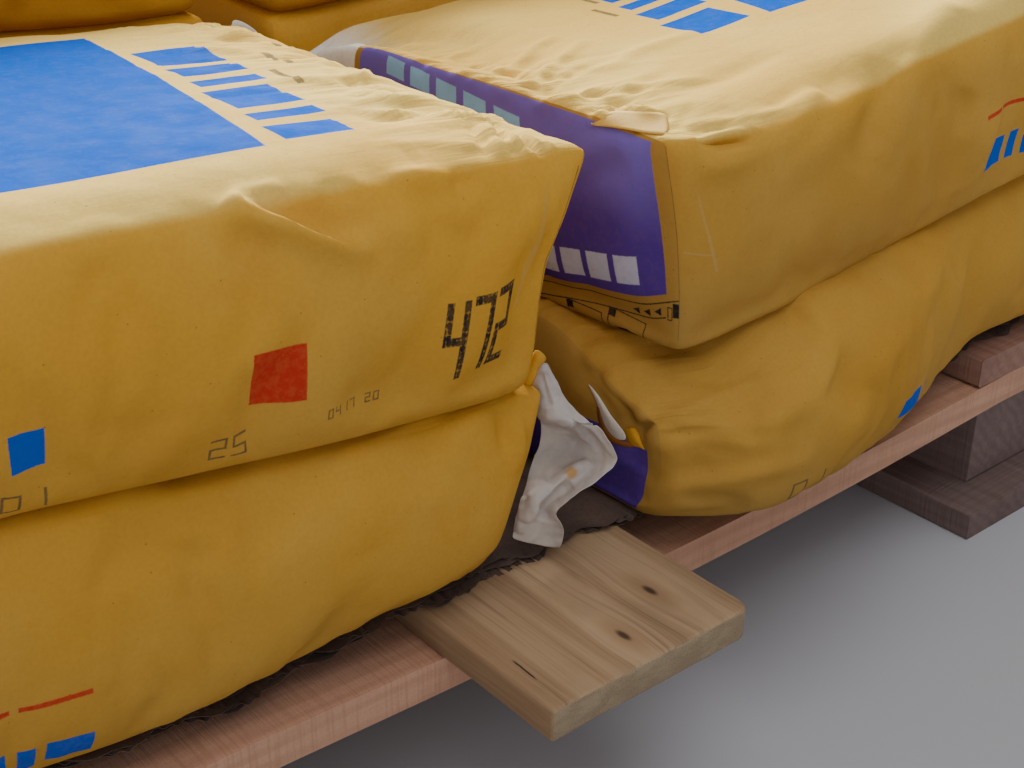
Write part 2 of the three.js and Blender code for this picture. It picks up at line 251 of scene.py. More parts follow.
# Node helpers for materials
class Recipe:
    """One material and the nodes that make it. Its tint starts as a colour, and lay adds to it."""

    def __init__(self, name, tint, roughness, specular):
        self.material = bpy.data.materials.new(name)
        self.material.use_nodes = True
        self.tree = self.material.node_tree
        self.shader = self.tree.nodes["Principled BSDF"]
        self.shader.inputs["Roughness"].default_value = roughness
        self.shader.inputs["Specular IOR Level"].default_value = specular
        self.coords = self.add("TexCoord", {}).outputs["Object"]
        self.tint = tint

    def put(self, socket, value):
        if isinstance(value, bpy.types.NodeSocket):
            self.tree.links.new(value, socket)
        elif value is not None:
            socket.default_value = value

    def add(self, kind, inputs, **settings):
        """A node of a kind, with its settings and what its inputs take."""
        node = self.tree.nodes.new("ShaderNode" + kind)
        for key, value in settings.items():
            setattr(node, key, value)
        for key, value in inputs.items():
            self.put(node.inputs[key], value)
        return node

    def math(self, operation, a, b=None, c=None):
        return self.add("Math", {0: a, 1: b, 2: c}, operation=operation).outputs[0]

    def times(self, a, b):
        return self.math("MULTIPLY", a, b)

    def scaled_sum(self, a, scale, b):
        """a times scale, plus b."""
        return self.math("MULTIPLY_ADD", a, scale, b)

    def vector(self, operation, a, b=None):
        node = self.add("VectorMath", {0: a, 1: b}, operation=operation)
        return node.outputs["Value" if operation in ("LENGTH", "DISTANCE", "DOT_PRODUCT") else "Vector"]

    def stretched(self, scale, coords=None, turn=(0, 0, 0), place=(0, 0, 0)):
        inputs = {"Vector": coords or self.coords, "Scale": scale, "Rotation": turn, "Location": place}
        return self.add("Mapping", inputs).outputs[0]

    def noise(self, scale, detail=2.0, rough=0.5, coords=None, distortion=0.0):
        inputs = {"Vector": coords or self.coords, "Scale": scale, "Detail": detail}
        inputs.update({"Roughness": rough, "Distortion": distortion})
        return self.add("TexNoise", inputs).outputs["Fac"]

    def voronoi(self, scale, feature="F1", coords=None, randomness=1.0):
        inputs = {"Vector": coords or self.coords, "Scale": scale, "Randomness": randomness}
        return self.add("TexVoronoi", inputs, feature=feature).outputs["Distance"]

    def diagonal_bands(self, scale, coords, distortion, detail):
        inputs = {"Vector": coords, "Scale": scale, "Distortion": distortion, "Detail": detail}
        return self.add("TexWave", inputs, bands_direction="DIAGONAL").outputs["Fac"]

    def ramp(self, value, low, high, out_low=0.0, out_high=1.0):
        """A smooth step from out_low at low to out_high at high."""
        inputs = {"Value": value, "From Min": low, "From Max": high, "To Min": out_low, "To Max": out_high}
        return self.add("MapRange", inputs, interpolation_type="SMOOTHSTEP").outputs[0]

    def mix(self, factor, a, b):
        """Colour a where factor is 0 and colour b where it is 1."""
        inputs = {"Factor": factor, 6: colour4(a), 7: colour4(b)}
        return self.add("Mix", inputs, data_type="RGBA").outputs[2]

    def lay(self, factor, colour):
        """Lays a colour over the tint so far, as thick as factor."""
        self.tint = self.mix(factor, self.tint, colour)

    def uv(self, name):
        return self.add("UVMap", {}, uv_map=name).outputs[0]

    def split(self, vector):
        return self.add("SeparateXYZ", {0: vector}).outputs

    def bump(self, height, distance, strength=1.0, over=None):
        inputs = {"Height": height, "Distance": distance, "Strength": strength, "Normal": over}
        return self.add("Bump", inputs).outputs[0]

    def finish(self, normal=None, roughness=None):
        self.put(self.shader.inputs["Base Color"], self.tint)
        self.put(self.shader.inputs["Normal"], normal)
        self.put(self.shader.inputs["Roughness"], roughness)
        return self.material


def colour4(value):
    if isinstance(value, (tuple, list)):
        return (*value[:3], 1.0)
    return value


def srgb(red, green, blue):
    """A colour as the eye reads it, 0 to 255, as the linear values of a shader."""
    channels = (c / 255 for c in (red, green, blue))
    return tuple(c / 12.92 if c <= 0.04045 else ((c + 0.055) / 1.055) ** 2.4 for c in channels)


# Printing on a sack: flat shapes in metres on one of the paper maps
def bar(u0, v0, u1, v1, slant=0.0):
    """An upright bar from one corner to the other; slant moves it along u as v grows."""
    return {"centre": ((u0 + u1) / 2, (v0 + v1) / 2), "half": ((u1 - u0) / 2, (v1 - v0) / 2), "slant": slant}


def patch(*corners):
    """A convex patch with its corners named anticlockwise."""
    return {"corners": corners}


def frame_bars(u0, v0, u1, v1, line):
    """The four thin bars of a rectangular frame."""
    return [
        bar(u0, v0, u1, v0 + line),
        bar(u0, v1 - line, u1, v1),
        bar(u0, v0, u0 + line, v1),
        bar(u1 - line, v0, u1, v1),
    ]


# Strokes of a plain digit in a cell one wide and one high: top, upper left, upper right, middle, lower
# left, lower right, foot
STROKES = {
    "top": (0, 1, 1, 1),
    "upper_left": (0, 0.5, 0, 1),
    "upper_right": (1, 0.5, 1, 1),
    "middle": (0, 0.5, 1, 0.5),
    "lower_left": (0, 0, 0, 0.5),
    "lower_right": (1, 0, 1, 0.5),
    "foot": (0, 0, 1, 0),
}
DIGITS = {
    "0": ("top", "upper_left", "upper_right", "lower_left", "lower_right", "foot"),
    "1": ("upper_right", "lower_right"),
    "2": ("top", "upper_right", "middle", "lower_left", "foot"),
    "4": ("upper_left", "upper_right", "middle", "lower_right"),
    "5": ("top", "upper_left", "middle", "lower_right", "foot"),
    "7": ("top", "upper_right", "lower_right"),
}


def digit_bars(text, u, v, width, height, gap, stroke, slant=0.0, climb=0.0):
    """Plain stencilled digits from a lower left corner; climb lifts each digit above the last one."""
    bars = []
    for digit in text:
        for name in DIGITS.get(digit, ()):
            a0, b0, a1, b1 = STROKES[name]
            pad = stroke / 2
            low = (u + a0 * width - pad, v + b0 * height - pad)
            high = (u + a1 * width + pad, v + b1 * height + pad)
            middle = (low[1] + high[1]) / 2 - v
            shift = slant * middle
            bars.append(bar(low[0] + shift, low[1], high[0] + shift, high[1], slant))
        u += width + gap
        v += climb
    return bars


def print_mask(recipe, uv_name, shapes):
    """1 where any of the shapes lies, with an edge as soft as ink on paper."""
    uv = recipe.uv(uv_name)
    nearest = None
    for shape in shapes:
        if "corners" in shape:
            away = patch_distance(recipe, uv, shape["corners"])
        else:
            away = bar_distance(recipe, uv, shape)
        nearest = away if nearest is None else recipe.math("MINIMUM", nearest, away)
    wobble = recipe.scaled_sum(recipe.noise(900, 1.0, 0.5), 2 * INK_RAGGED, -INK_RAGGED)
    nearest = recipe.math("ADD", nearest, wobble)
    return recipe.ramp(nearest, -INK_EDGE, INK_EDGE, 1.0, 0.0)


def bar_distance(recipe, uv, shape):
    """How far a point of the map lies outside a bar; negative inside it."""
    u, v = recipe.split(recipe.vector("SUBTRACT", uv, (*shape["centre"], 0)))[:2]
    if shape["slant"]:
        u = recipe.scaled_sum(v, -shape["slant"], u)
    du = recipe.math("SUBTRACT", recipe.math("ABSOLUTE", u), shape["half"][0])
    dv = recipe.math("SUBTRACT", recipe.math("ABSOLUTE", v), shape["half"][1])
    return recipe.math("MAXIMUM", du, dv)


def patch_distance(recipe, uv, corners):
    """How far a point of the map lies outside a convex patch; negative inside it."""
    away = None
    for (u0, v0), (u1, v1) in zip(corners, corners[1:] + corners[:1]):
        run = math.hypot(u1 - u0, v1 - v0)
        out = ((v1 - v0) / run, -(u1 - u0) / run, 0)
        offset = out[0] * u0 + out[1] * v0
        side = recipe.math("SUBTRACT", recipe.vector("DOT_PRODUCT", uv, out), offset)
        away = side if away is None else recipe.math("MAXIMUM", away, side)
    return away


# Colours of the paper and its inks, and of the painted light and shade on it
YELLOW = srgb(216, 158, 52)
YELLOW_PALE = srgb(222, 178, 88)
YELLOW_DEEP = srgb(188, 126, 36)
YELLOW_PAINTED_LIGHT = srgb(246, 212, 118)
FIBRE_BROWN = srgb(150, 100, 40)
WHITE_PLY = srgb(226, 218, 206)
WHITE_PALE = srgb(248, 244, 228)
BROWN_PLY = srgb(150, 98, 50)
BLUE = srgb(0, 84, 184)
PURPLE = srgb(88, 60, 150)
PURPLE_PAINTED_LIGHT = srgb(132, 116, 206)
PALE_INK = srgb(196, 198, 220)
SKY_INK = srgb(150, 200, 240)
RED = srgb(190, 52, 40)
INK = srgb(44, 40, 42)
GREY_INK = srgb(96, 84, 60)
PAINTED_SHADE_GREY = srgb(112, 98, 74)
PALE_STREAK = srgb(190, 158, 104)
SCRATCH = srgb(214, 200, 176)
RUB = srgb(196, 186, 180)
SPECK = srgb(90, 62, 30)


def sack_paper(name, prints, height, painted_lit_top, pale_and_lit_corner, painted_shade):
    """Printed kraft paper. prints is a list of (colour, paper map, shapes, wear, dots across).
    The fourth argument, when set, paints the sack's top paler: a painted highlight where the light falls on
    it. The fifth, a point of the side map with its reach, paints the yellow near-white round it: partly pale
    worn paper, partly a painted highlight. The sixth says how far the upright sides are painted greyer and
    darker: painted shade."""
    recipe = Recipe(name, YELLOW, roughness=0.62, specular=0.003)
    side_map = recipe.uv("side")
    girth = recipe.split(side_map)[1]
    recipe.lay(recipe.ramp(recipe.noise(7, 4, 0.6), 0.35, 0.7, 0, 0.4), YELLOW_PALE)
    recipe.lay(recipe.ramp(recipe.noise(16, 3, 0.6), 0.5, 0.75, 0, 0.25), YELLOW_DEEP)
    # Painted shade: the upright sides are painted greyer and darker, a little more at the front's foot, on
    # the ends and underneath; a top sack's top and back are left out.
    painted_shade_mask = recipe.ramp(recipe.noise(6, 3), 0.3, 0.7, 0.8 * painted_shade, 1.2 * painted_shade)
    painted_shade_mask = recipe.scaled_sum(recipe.ramp(girth, 0.01, 0.08, 1, 0), 0.14, painted_shade_mask)
    if painted_lit_top:
        painted_shade_mask = recipe.times(painted_shade_mask, recipe.ramp(girth, height - 0.03, height + 0.02, 1, 0))
    recipe.lay(painted_shade_mask, PAINTED_SHADE_GREY)
    # Painted highlight: the top of a top sack is painted paler yellow, where the light falls on it.
    if painted_lit_top:
        front_edge = recipe.ramp(girth, height - 0.001, height + 0.008)
        rear_edge = recipe.ramp(girth, height + SACK_DEPTH - 0.005, height + SACK_DEPTH + 0.02, 1, 0)
        painted_light_patches = recipe.ramp(recipe.noise(5, 3), 0.3, 0.7, 0.4, 0.8)
        recipe.lay(recipe.times(recipe.times(front_edge, rear_edge), painted_light_patches), YELLOW_PAINTED_LIGHT)
    # Painted highlight round one corner: the yellow is painted near-white there, partly pale worn paper.
    if pale_and_lit_corner:
        u, v, reach = pale_and_lit_corner
        ragged = recipe.scaled_sum(recipe.noise(30, 4), 0.05, recipe.vector("DISTANCE", side_map, (u, v, 0)))
        recipe.lay(recipe.ramp(ragged, 0.35 * reach, reach, 0.95, 0), WHITE_PALE)
    fibre = recipe.noise(420, 3, 0.7)
    recipe.lay(recipe.ramp(fibre, 0.3, 0.75, 0, 0.14), FIBRE_BROWN)
    scratch = recipe.noise(26, 6, 0.8, recipe.stretched((1, 1, 5), turn=(0.6, 0.3, 0.2)), distortion=2.5)
    recipe.lay(recipe.ramp(scratch, 0.69, 0.8, 0, 0.3), SCRATCH)
    for each in prints:
        lay_print(recipe, *each)
    rub = recipe.noise(90, 5, 0.75, recipe.stretched((1, 4, 1), turn=(0.5, 0.7, 0.3)), distortion=1.5)
    recipe.lay(recipe.ramp(rub, 0.7, 0.78, 0, 0.3), RUB)
    recipe.lay(recipe.ramp(recipe.voronoi(SPECK_RATE), 0.03, 0.07, 0.5, 0), SPECK)
    relief = paper_relief(recipe, side_map, girth, height, fibre)
    return recipe.finish(relief, recipe.ramp(recipe.noise(60, 3), 0.3, 0.7, 0.5, 0.68))


def lay_print(recipe, colour, uv_name, shapes, wear, dots):
    """One ink on the paper, rubbed by wear and broken into dots where a stamp made it."""
    mask = print_mask(recipe, uv_name, shapes)
    if dots:
        cells = recipe.voronoi(dots, coords=recipe.uv(uv_name), randomness=0.35)
        mask = recipe.times(mask, recipe.ramp(cells, 0.5, 0.72, 1, 0.4))
    if wear:
        mask = recipe.times(mask, recipe.ramp(recipe.noise(210, 4, 0.75), 0.5 - wear, 0.64, 1, 1 - wear))
    # Painted highlight: purple ink is painted lighter towards the end's upper fold, where the light falls on
    # it.
    if colour == PURPLE:
        painted_light_rise = recipe.scaled_sum(recipe.noise(22, 2), 0.03, recipe.split(recipe.uv(uv_name))[1])
        colour = recipe.mix(recipe.ramp(painted_light_rise, -0.045, 0.005, 0, 0.75), PURPLE, PURPLE_PAINTED_LIGHT)
    recipe.lay(mask, colour)


def paper_relief(recipe, side_map, girth, height, fibre):
    """Faint crumples, gathers that grow towards the top's ends, puckers and the paper's fibre."""
    crumple = recipe.voronoi(30, "DISTANCE_TO_EDGE", recipe.stretched((1, 1.4, 1.2)))
    relief = recipe.bump(recipe.ramp(crumple, 0, 0.22), 0.0005, 0.25)
    near_ends = []
    for end in ("end_low", "end_high"):
        near_ends.append(recipe.ramp(recipe.split(recipe.uv(end))[1], 0.0, 0.13, 1, 0))
    ends = recipe.times(recipe.math("MAXIMUM", *near_ends), recipe.ramp(girth, height - 0.03, height))
    gathered = recipe.noise(1, 4, 0.6, recipe.stretched((14, 120, 1), side_map), distortion=0.5)
    relief = recipe.bump(recipe.times(gathered, recipe.scaled_sum(ends, 0.5, 0.06)), 0.004, 0.8, relief)
    relief = recipe.bump(recipe.noise(85, 4, 0.6, distortion=0.6), 0.0006, 0.3, relief)
    return recipe.bump(fibre, 0.00012, 0.5, relief)


# What is printed on each sack, as plain bars, blocks and digits, in metres on its paper. Each print is
# (ink, paper map, shapes, wear, dots across).
def blue_bars(start, widths, gap, low, high, slant):
    """A row of bars across the print's band, one after the other along v."""
    bars = []
    v = start
    for width in widths:
        shift = slant * (v - start)
        bars.append(bar(low + shift, v, high + shift, v + width))
        v += width + gap
    return bars


def side_marks(start, low, high):
    """Three blue marks in a row on a sack's side."""
    return [bar(start + a, low, start + b, high) for a, b in ((0, 0.023), (0.029, 0.037), (0.043, 0.058))]


def sloping_blocks(count, start, width, pitch, origin, slope, rise):
    """Blocks in a row along a sloping line through origin."""
    blocks = []
    for i in range(count):
        u = (start + pitch * i, start + pitch * i + width)
        v = [origin[1] + slope * (a - origin[0]) for a in u]
        blocks.append(patch((u[0], v[0]), (u[1], v[1]), (u[1], v[1] + rise), (u[0], v[0] + rise)))
    return blocks


def left_top_prints():
    row = blue_bars(0.17, [0.02, 0.012, 0.034, 0.012, 0.02, 0.034], 0.009, 0.469, 0.506, 0.13)
    block = patch((0.33, 0.163), (0.456, 0.166), (0.488, 0.4), (0.33, 0.4))
    small = [bar(0.527 + 0.018 * i, 0.25 + 0.04 * i, 0.531 + 0.018 * i, 0.278 + 0.04 * i) for i in range(3)]
    side_blocks = side_marks(0.262, 0.029, 0.047)
    stamp = digit_bars("472", 0.513, 0.03, 0.0105, 0.033, 0.0068, 0.0042, 0.08, 0.001)
    code = digit_bars("0417 20", 0.45, 0.0225, 0.0026, 0.0042, 0.0022, 0.0007)
    low_stamp = digit_bars("01", 0.301, 0.006, 0.007, 0.011, 0.004, 0.0012)
    low_stamp += digit_bars("25", 0.392, 0.012, 0.007, 0.011, 0.004, 0.0012)
    # A painted highlight: this thin pale streak near the right end stands for a glossy line catching the
    # light.
    pale_streak = patch((0.571, 0.05), (0.573, 0.05), (0.5775, 0.08), (0.574, 0.108), (0.5725, 0.1))
    return [
        (BLUE, "side", row + [block] + side_blocks, 0.02, 0),
        (GREY_INK, "side", small, 0.3, 0),
        (RED, "side", [bar(0.412, 0.035, 0.438, 0.061)], 0.12, 0),
        (INK, "side", stamp, 0.15, 330),
        (GREY_INK, "side", code + low_stamp, 0.2, 0),
        (INK, "side", [bar(0.5915, 0.03, 0.5922, 0.112)], 0.3, 0),
        (PALE_STREAK, "side", [pale_streak], 0.75, 0),
    ]


def left_low_prints():
    side_blocks = [
        bar(0.262, 0.012, 0.28, 0.028),
        bar(0.285, 0.012, 0.293, 0.028),
        bar(0.298, 0.012, 0.319, 0.028),
    ]
    return [
        (RED, "side", [bar(0.262, 0.049, 0.283, 0.0515), bar(0.287, 0.049, 0.319, 0.0515)], 0.15, 0),
        (BLUE, "side", side_blocks, 0.1, 0),
    ]


def right_top_prints():
    row = blue_bars(0.242, [0.034, 0.02, 0.012, 0.034], 0.009, 0.166, 0.208, 0.2)
    block = patch((0.219, 0.236), (0.34, 0.212), (0.34, 0.4), (0.253, 0.4))
    small = [bar(0.165 + 0.012 * i, 0.312 + 0.03 * i, 0.169 + 0.012 * i, 0.334 + 0.03 * i) for i in range(3)]
    side_blocks = [
        bar(0.298, 0.025, 0.32, 0.043),
        bar(0.326, 0.025, 0.334, 0.043),
        bar(0.34, 0.025, 0.38, 0.043),
    ]
    panel = patch((0.008, -0.003), (0.008, -0.084), (0.25, -0.131), (0.25, 0.001))
    foot_blocks = sloping_blocks(8, 0.024, 0.0145, 0.0185, (0.024, -0.0805), -0.19, 0.0155)
    upper_blocks = sloping_blocks(5, 0.094, 0.0195, 0.0262, (0.09, -0.0245), 0.09, 0.0105)
    arrows = []
    for i in range(3):
        u, v = 0.0125 + 0.008 * i, -0.0975 - 0.0018 * i
        arrows.append(patch((u, v), (u + 0.005, v + 0.002), (u, v + 0.005)))
    lines = [
        patch((-0.002, -0.0862), (-0.002, -0.087), (0.2, -0.1286), (0.2, -0.1278)),
        patch((0.009, -0.0976), (0.009, -0.0984), (0.2, -0.1386), (0.2, -0.1378)),
    ]
    boxes = frame_bars(0.0045, -0.0995, 0.008, -0.0915, 0.0006) + [bar(-0.002, -0.0975, 0.0042, -0.089)]
    frames = frame_bars(0.0235, -0.14, 0.0505, -0.106, 0.0007)
    frames += frame_bars(0.0545, -0.15, 0.081, -0.113, 0.0007)
    frames += [bar(0.0455, -0.112, 0.0505, -0.1065), bar(0.076, -0.1185, 0.081, -0.1135)]
    frames += [patch((0.028, -0.119), (0.036, -0.1235), (0.046, -0.119), (0.036, -0.1165))]
    # The far part of the low end is painted near-white: partly pale paper, partly a painted highlight.
    pale_and_lit_end = patch((0.256, -0.14), (0.36, -0.14), (0.36, 0.03), (0.256, 0.02))
    pale_streak = patch((0.03, 0.052), (0.0335, 0.052), (0.0195, 0.094), (0.0175, 0.094))
    return [
        (BLUE, "side", row + [block] + side_blocks, 0.02, 0),
        (GREY_INK, "side", small, 0.3, 0),
        (RED, "side", [bar(0.287, 0.0625, 0.306, 0.065), bar(0.309, 0.0625, 0.332, 0.065)], 0.15, 0),
        (WHITE_PALE, "end_low", [pale_and_lit_end], 0.1, 0),
        (PURPLE, "end_low", [panel], 0.05, 0),
        (PALE_INK, "end_low", foot_blocks, 0.1, 0),
        (SKY_INK, "end_low", upper_blocks, 0.1, 0),
        (INK, "end_low", arrows + lines + boxes + frames, 0.1, 0),
        (GREY_INK, "side", [bar(-0.0002, 0.01, 0.0005, 0.118)], 0.4, 0),
        (PALE_STREAK, "side", [pale_streak], 0.7, 0),
        (PALE_STREAK, "side", [bar(0.004, 0.0615, 0.028, 0.0625)], 0.6, 0),
    ]


def right_low_prints():
    panel = patch((0.013, -0.052), (0.013, -0.14), (0.3, -0.14), (0.3, -0.06))
    return [
        (PURPLE, "end_low", [panel], 0.05, 0),
        (GREY_INK, "side", digit_bars("01", 0.068, 0.024, 0.01, 0.013, 0.006, 0.0014), 0.2, 0),
        (BLUE, "side", [bar(0.19, 0.024, 0.212, 0.038), bar(0.218, 0.024, 0.226, 0.038)], 0.1, 0),
    ]


def back_prints(height):
    """A back sack: the panel of each end, the top's bars and block, and marks on both long sides."""
    panel = patch((0.018, -0.1), (0.3, -0.1), (0.3, -0.02), (0.018, -0.02))
    row = blue_bars(height + 0.05, [0.034, 0.012, 0.02, 0.034, 0.02, 0.034], 0.009, 0.469, 0.506, 0.0)
    block = bar(0.18, height + 0.05, 0.456, height + 0.26)
    rear = 2 * height + SACK_DEPTH
    marks = side_marks(0.262, 0.03, 0.048)
    marks += [bar(0.262, rear - 0.048, 0.285, rear - 0.03), bar(0.291, rear - 0.048, 0.32, rear - 0.03)]
    tags = [bar(0.255, 0.062, 0.32, 0.0645), bar(0.255, rear - 0.0645, 0.32, rear - 0.062)]
    return [
        (PURPLE, "end_low", [panel], 0.05, 0),
        (PURPLE, "end_high", [panel], 0.05, 0),
        (BLUE, "side", row + [block] + marks, 0.02, 0),
        (RED, "side", tags, 0.15, 0),
    ]


# Sawn timber: pale and dark colour, the axis of the grain, depth of the rings and a seed
TIMBERS = {
    "stringer": (srgb(208, 160, 132), srgb(168, 120, 94), 0, 0.25, 0.0),
    # deck_board is painted darker than stringer, partly as painted shade; foot is painted darker, greyer and
    # bluer as painted shade under the deck.
    "deck_board": (srgb(158, 120, 104), srgb(120, 88, 76), 1, 0.3, 3.7),
    "foot": (srgb(132, 112, 106), srgb(100, 82, 78), 1, 0.25, 8.1),
}
TIMBER_PORE = srgb(110, 84, 68)
TIMBER_DIRT = srgb(104, 86, 76)


def along_grain(along, lengthwise, across):
    """The scale of a pattern with one value along the grain and another across it."""
    return [lengthwise if axis == along else across for axis in range(3)]


def sawn_timber(kind):
    """Rough-sawn softwood with its grain along one axis and the saw's marks across it."""
    pale, dark, along, ring_depth, seed = TIMBERS[kind]
    recipe = Recipe(kind + "_timber", pale, roughness=0.8, specular=0.12)
    place = (seed, seed * 2, seed * 3)
    ring_coords = recipe.stretched(along_grain(along, 0.55, 9.0), place=place)
    rings = recipe.diagonal_bands(5.2, ring_coords, distortion=5.5, detail=3)
    fine = recipe.noise(150, 4, 0.65, recipe.stretched(along_grain(along, 0.04, 1.0), place=place))
    marks = recipe.noise(520, 2, 0.5, recipe.stretched(along_grain(along, 1.0, 0.03)))
    pores = recipe.noise(900, 3, 0.7)
    recipe.lay(recipe.ramp(rings, 0.1, 0.95, 0, ring_depth), dark)
    recipe.lay(recipe.ramp(fine, 0.35, 0.75, 0, 0.35), dark)
    recipe.lay(recipe.ramp(marks, 0.45, 0.7, 0, 0.3), dark)
    recipe.lay(recipe.ramp(pores, 0.45, 0.75, 0, 0.2), TIMBER_PORE)
    recipe.lay(recipe.ramp(recipe.noise(9, 5, 0.7), 0.5, 0.85, 0, 0.45), TIMBER_DIRT)
    height = recipe.scaled_sum(pores, 0.4, recipe.scaled_sum(fine, 0.5, marks))
    return recipe.finish(recipe.bump(height, 0.0011, 0.6), recipe.ramp(fine, 0.2, 0.8, 0.7, 0.9))


# Edit mode
def select_edges(wanted):
    """Selects the edges that wanted picks, and nothing else."""
    mesh = bmesh.from_edit_mesh(bpy.context.edit_object.data)
    for face in mesh.faces:
        face.select_set(False)
    for edge in mesh.edges:
        edge.select_set(bool(wanted(edge)))
    bmesh.update_edit_mesh(bpy.context.edit_object.data)


def cut_edges_along(axis, cuts):
    """Cuts every edge that runs along an axis."""
    def runs_along(edge):
        run = edge.verts[1].co - edge.verts[0].co
        return abs(run[axis]) > 0.7 * run.length

    select_edges(runs_along)
    bpy.ops.mesh.subdivide(number_cuts=cuts)


def cut_all(point, normal):
    """Cuts the whole mesh along a plane."""
    bpy.ops.mesh.select_all(action="SELECT")
    bpy.ops.mesh.bisect(plane_co=point, plane_no=normal)


def add_block(name, middle, size):
    """A plain block, left in edit mode with edges to select."""
    deselect_all()
    bpy.ops.mesh.primitive_cube_add(size=1, location=middle, scale=size)
    block = bpy.context.object
    block.name = name
    bpy.ops.object.transform_apply(location=True, rotation=True, scale=True)
    bpy.ops.object.mode_set(mode="EDIT")
    bpy.context.tool_settings.mesh_select_mode = (False, True, False)
    return block


# Sack modelling
def sack_block(name, size, cell):
    """A block of even cells as large as a sack's paper, with the maps of its paper."""
    block = add_block(name, tuple(s / 2 for s in size), size)
    for axis in range(3):
        cut_edges_along(axis, round(size[axis] / cell) - 1)
    bpy.ops.object.mode_set(mode="OBJECT")
    add_paper_maps(block, size)
    return block


def add_paper_maps(obj, size):
    """side: along the sack and round its girth from the front's foot. end_low and end_high: across
    the sack, and over the end's upper fold onto the top."""
    mesh = obj.data
    while mesh.uv_layers:
        mesh.uv_layers.remove(mesh.uv_layers[0])
    loop_vertex = np.empty(len(mesh.loops), np.int32)
    mesh.loops.foreach_get("vertex_index", loop_vertex)
    x, y, z = points_of(obj)[loop_vertex].T
    face_normal = np.empty(len(mesh.polygons) * 3, np.float32)
    mesh.polygons.foreach_get("normal", face_normal)
    corners_per_face = np.empty(len(mesh.polygons), np.int32)
    mesh.polygons.foreach_get("loop_total", corners_per_face)
    normal = np.repeat(face_normal.reshape(-1, 3), corners_per_face, axis=0)
    length, depth, height = size
    girth = np.where(normal[:, 1] < -0.5, z, 0.0)
    girth = np.where(normal[:, 2] > 0.5, height + y, girth)
    girth = np.where(normal[:, 1] > 0.5, 2 * height + depth - z, girth)
    girth = np.where(normal[:, 2] < -0.5, -y, girth)
    girth = np.where(np.abs(normal[:, 0]) > 0.5, -1 - z, girth)
    maps = {"side": (x, girth)}
    for key, distance in (("end_low", x), ("end_high", length - x)):
        over = np.where(normal[:, 2] > 0.5, distance, 9.0)
        facing = normal[:, 0] < -0.5 if key == "end_low" else normal[:, 0] > 0.5
        over = np.where(facing, z - height, over)
        maps[key] = (y, over)
    for key, (across, along) in maps.items():
        layer = mesh.uv_layers.new(name=key)
        layer.data.foreach_set("uv", np.stack([across, along], 1).astype(np.float32).ravel())


def shine_through(tree, origin, direction):
    """Where a ray first meets a surface."""
    return tree.ray_cast(Vector(origin), Vector(direction))[0]


class Lie:
    """How a sack's CAD solid lies: its ends, front line, underside and top, along X."""

    def __init__(self, node):
        tree = surface_of(nodes[node])
        self.low, self.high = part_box(node)
        points = points_of(nodes[node])
        self.corner = {}
        for end in (-1, 1):
            for side in (-1, 1):
                outward = points[:, 0] * end + points[:, 1] * side
                self.corner[end, side] = points[np.argmax(outward)][0]
        depth_middle = self.high.y - SACK_DEPTH / 2
        self.xs = np.linspace(self.low.x + END_CLEAR, self.high.x - END_CLEAR, PROFILE_STATIONS)
        under, over, front = [], [], []
        for x in self.xs:
            inside = min(max(x, self.low.x + END_STEP), self.high.x - END_STEP)
            under.append(shine_through(tree, (inside, depth_middle, -1), (0, 0, 1)).z)
            over.append(shine_through(tree, (inside, depth_middle, 2), (0, 0, -1)).z)
            front.append(shine_through(tree, (x, -2, (under[-1] + over[-1]) / 2), (0, 1, 0)).y)
        self.under, self.over, self.front = (even_out(v) for v in (under, over, front))

    def ends_at(self, across):
        """X of the two ends at a fraction of the depth."""
        return tuple(self.corner[end, -1] * (1 - across) + self.corner[end, 1] * across for end in (-1, 1))


def even_out(values):
    """Takes the facets out of a row of measures."""
    values = np.array(values)
    for _ in range(3):
        inner = (values[:-2] + 2 * values[1:-1] + values[2:]) / 4
        values = np.concatenate([values[:1], inner, values[-1:]])
    return values


def soft_step(value, low, high):
    """0 at low and 1 at high, with a smooth start and end."""
    t = np.clip((value - low) / (high - low), 0, 1)
    return t * t * (3 - 2 * t)


def round_block(points, size, form):
    """Rounds the block's edges. Every radius has its own value along the top and along the foot."""
    size = np.array(size)
    rise = soft_step(points[:, 2] / size[2], 0.15, 0.85)
    foot = np.interp(points[:, 0], *zip(*form["foot"]))
    top = np.interp(points[:, 0], *zip(*form["top"]))
    side = foot + (top - foot) * rise
    low_end, high_end = (at_foot + (at_top - at_foot) * rise for at_foot, at_top in form["ends"])
    end = np.where(points[:, 0] < size[0] / 2, low_end, high_end)
    radius = np.stack([end, side, side], 1)
    inner = np.clip(points, radius, size - radius)
    reach = (points - inner) / radius
    length = np.linalg.norm(reach, axis=1, keepdims=True)
    return inner + radius * reach / np.maximum(length, 1e-9)


def lay_block(points, size, lie, form):
    """Lays a rounded block where the sack lies: pressed between what is under and over it."""
    along, across, up = (points / np.array(size)).T
    left, right = lie.ends_at(across)
    x = left * (1 - along) + right * along
    from_ends = (along * size[0], (1 - along) * size[0])
    for from_end, (at_foot, at_top, at_back) in zip(from_ends, form["lean"]):
        shift = at_foot + (at_top - at_foot) * up + at_back * across ** 2
        x = x + shift * soft_step(from_end, LEAN_REACH, 0.0)
    slack = form["bulge"] * np.abs(2 * up - 1) ** 2.2
    front = np.interp(x, lie.xs, lie.front)
    y = (front + slack) * (1 - across) + (lie.high.y - slack) * across
    under = np.interp(x, lie.xs, lie.under)
    over = np.interp(x, lie.xs, lie.over)
    crown = form["crown"] * (1 - np.abs(2 * across - 1) ** 2.5) * up ** 3
    lowered = np.interp(x, *zip(*form["shoulder"])) * soft_step(across, 0.3, 0.0) * up ** 2
    return np.stack([x, y, under + (over - under) * up + crown - lowered], 1)


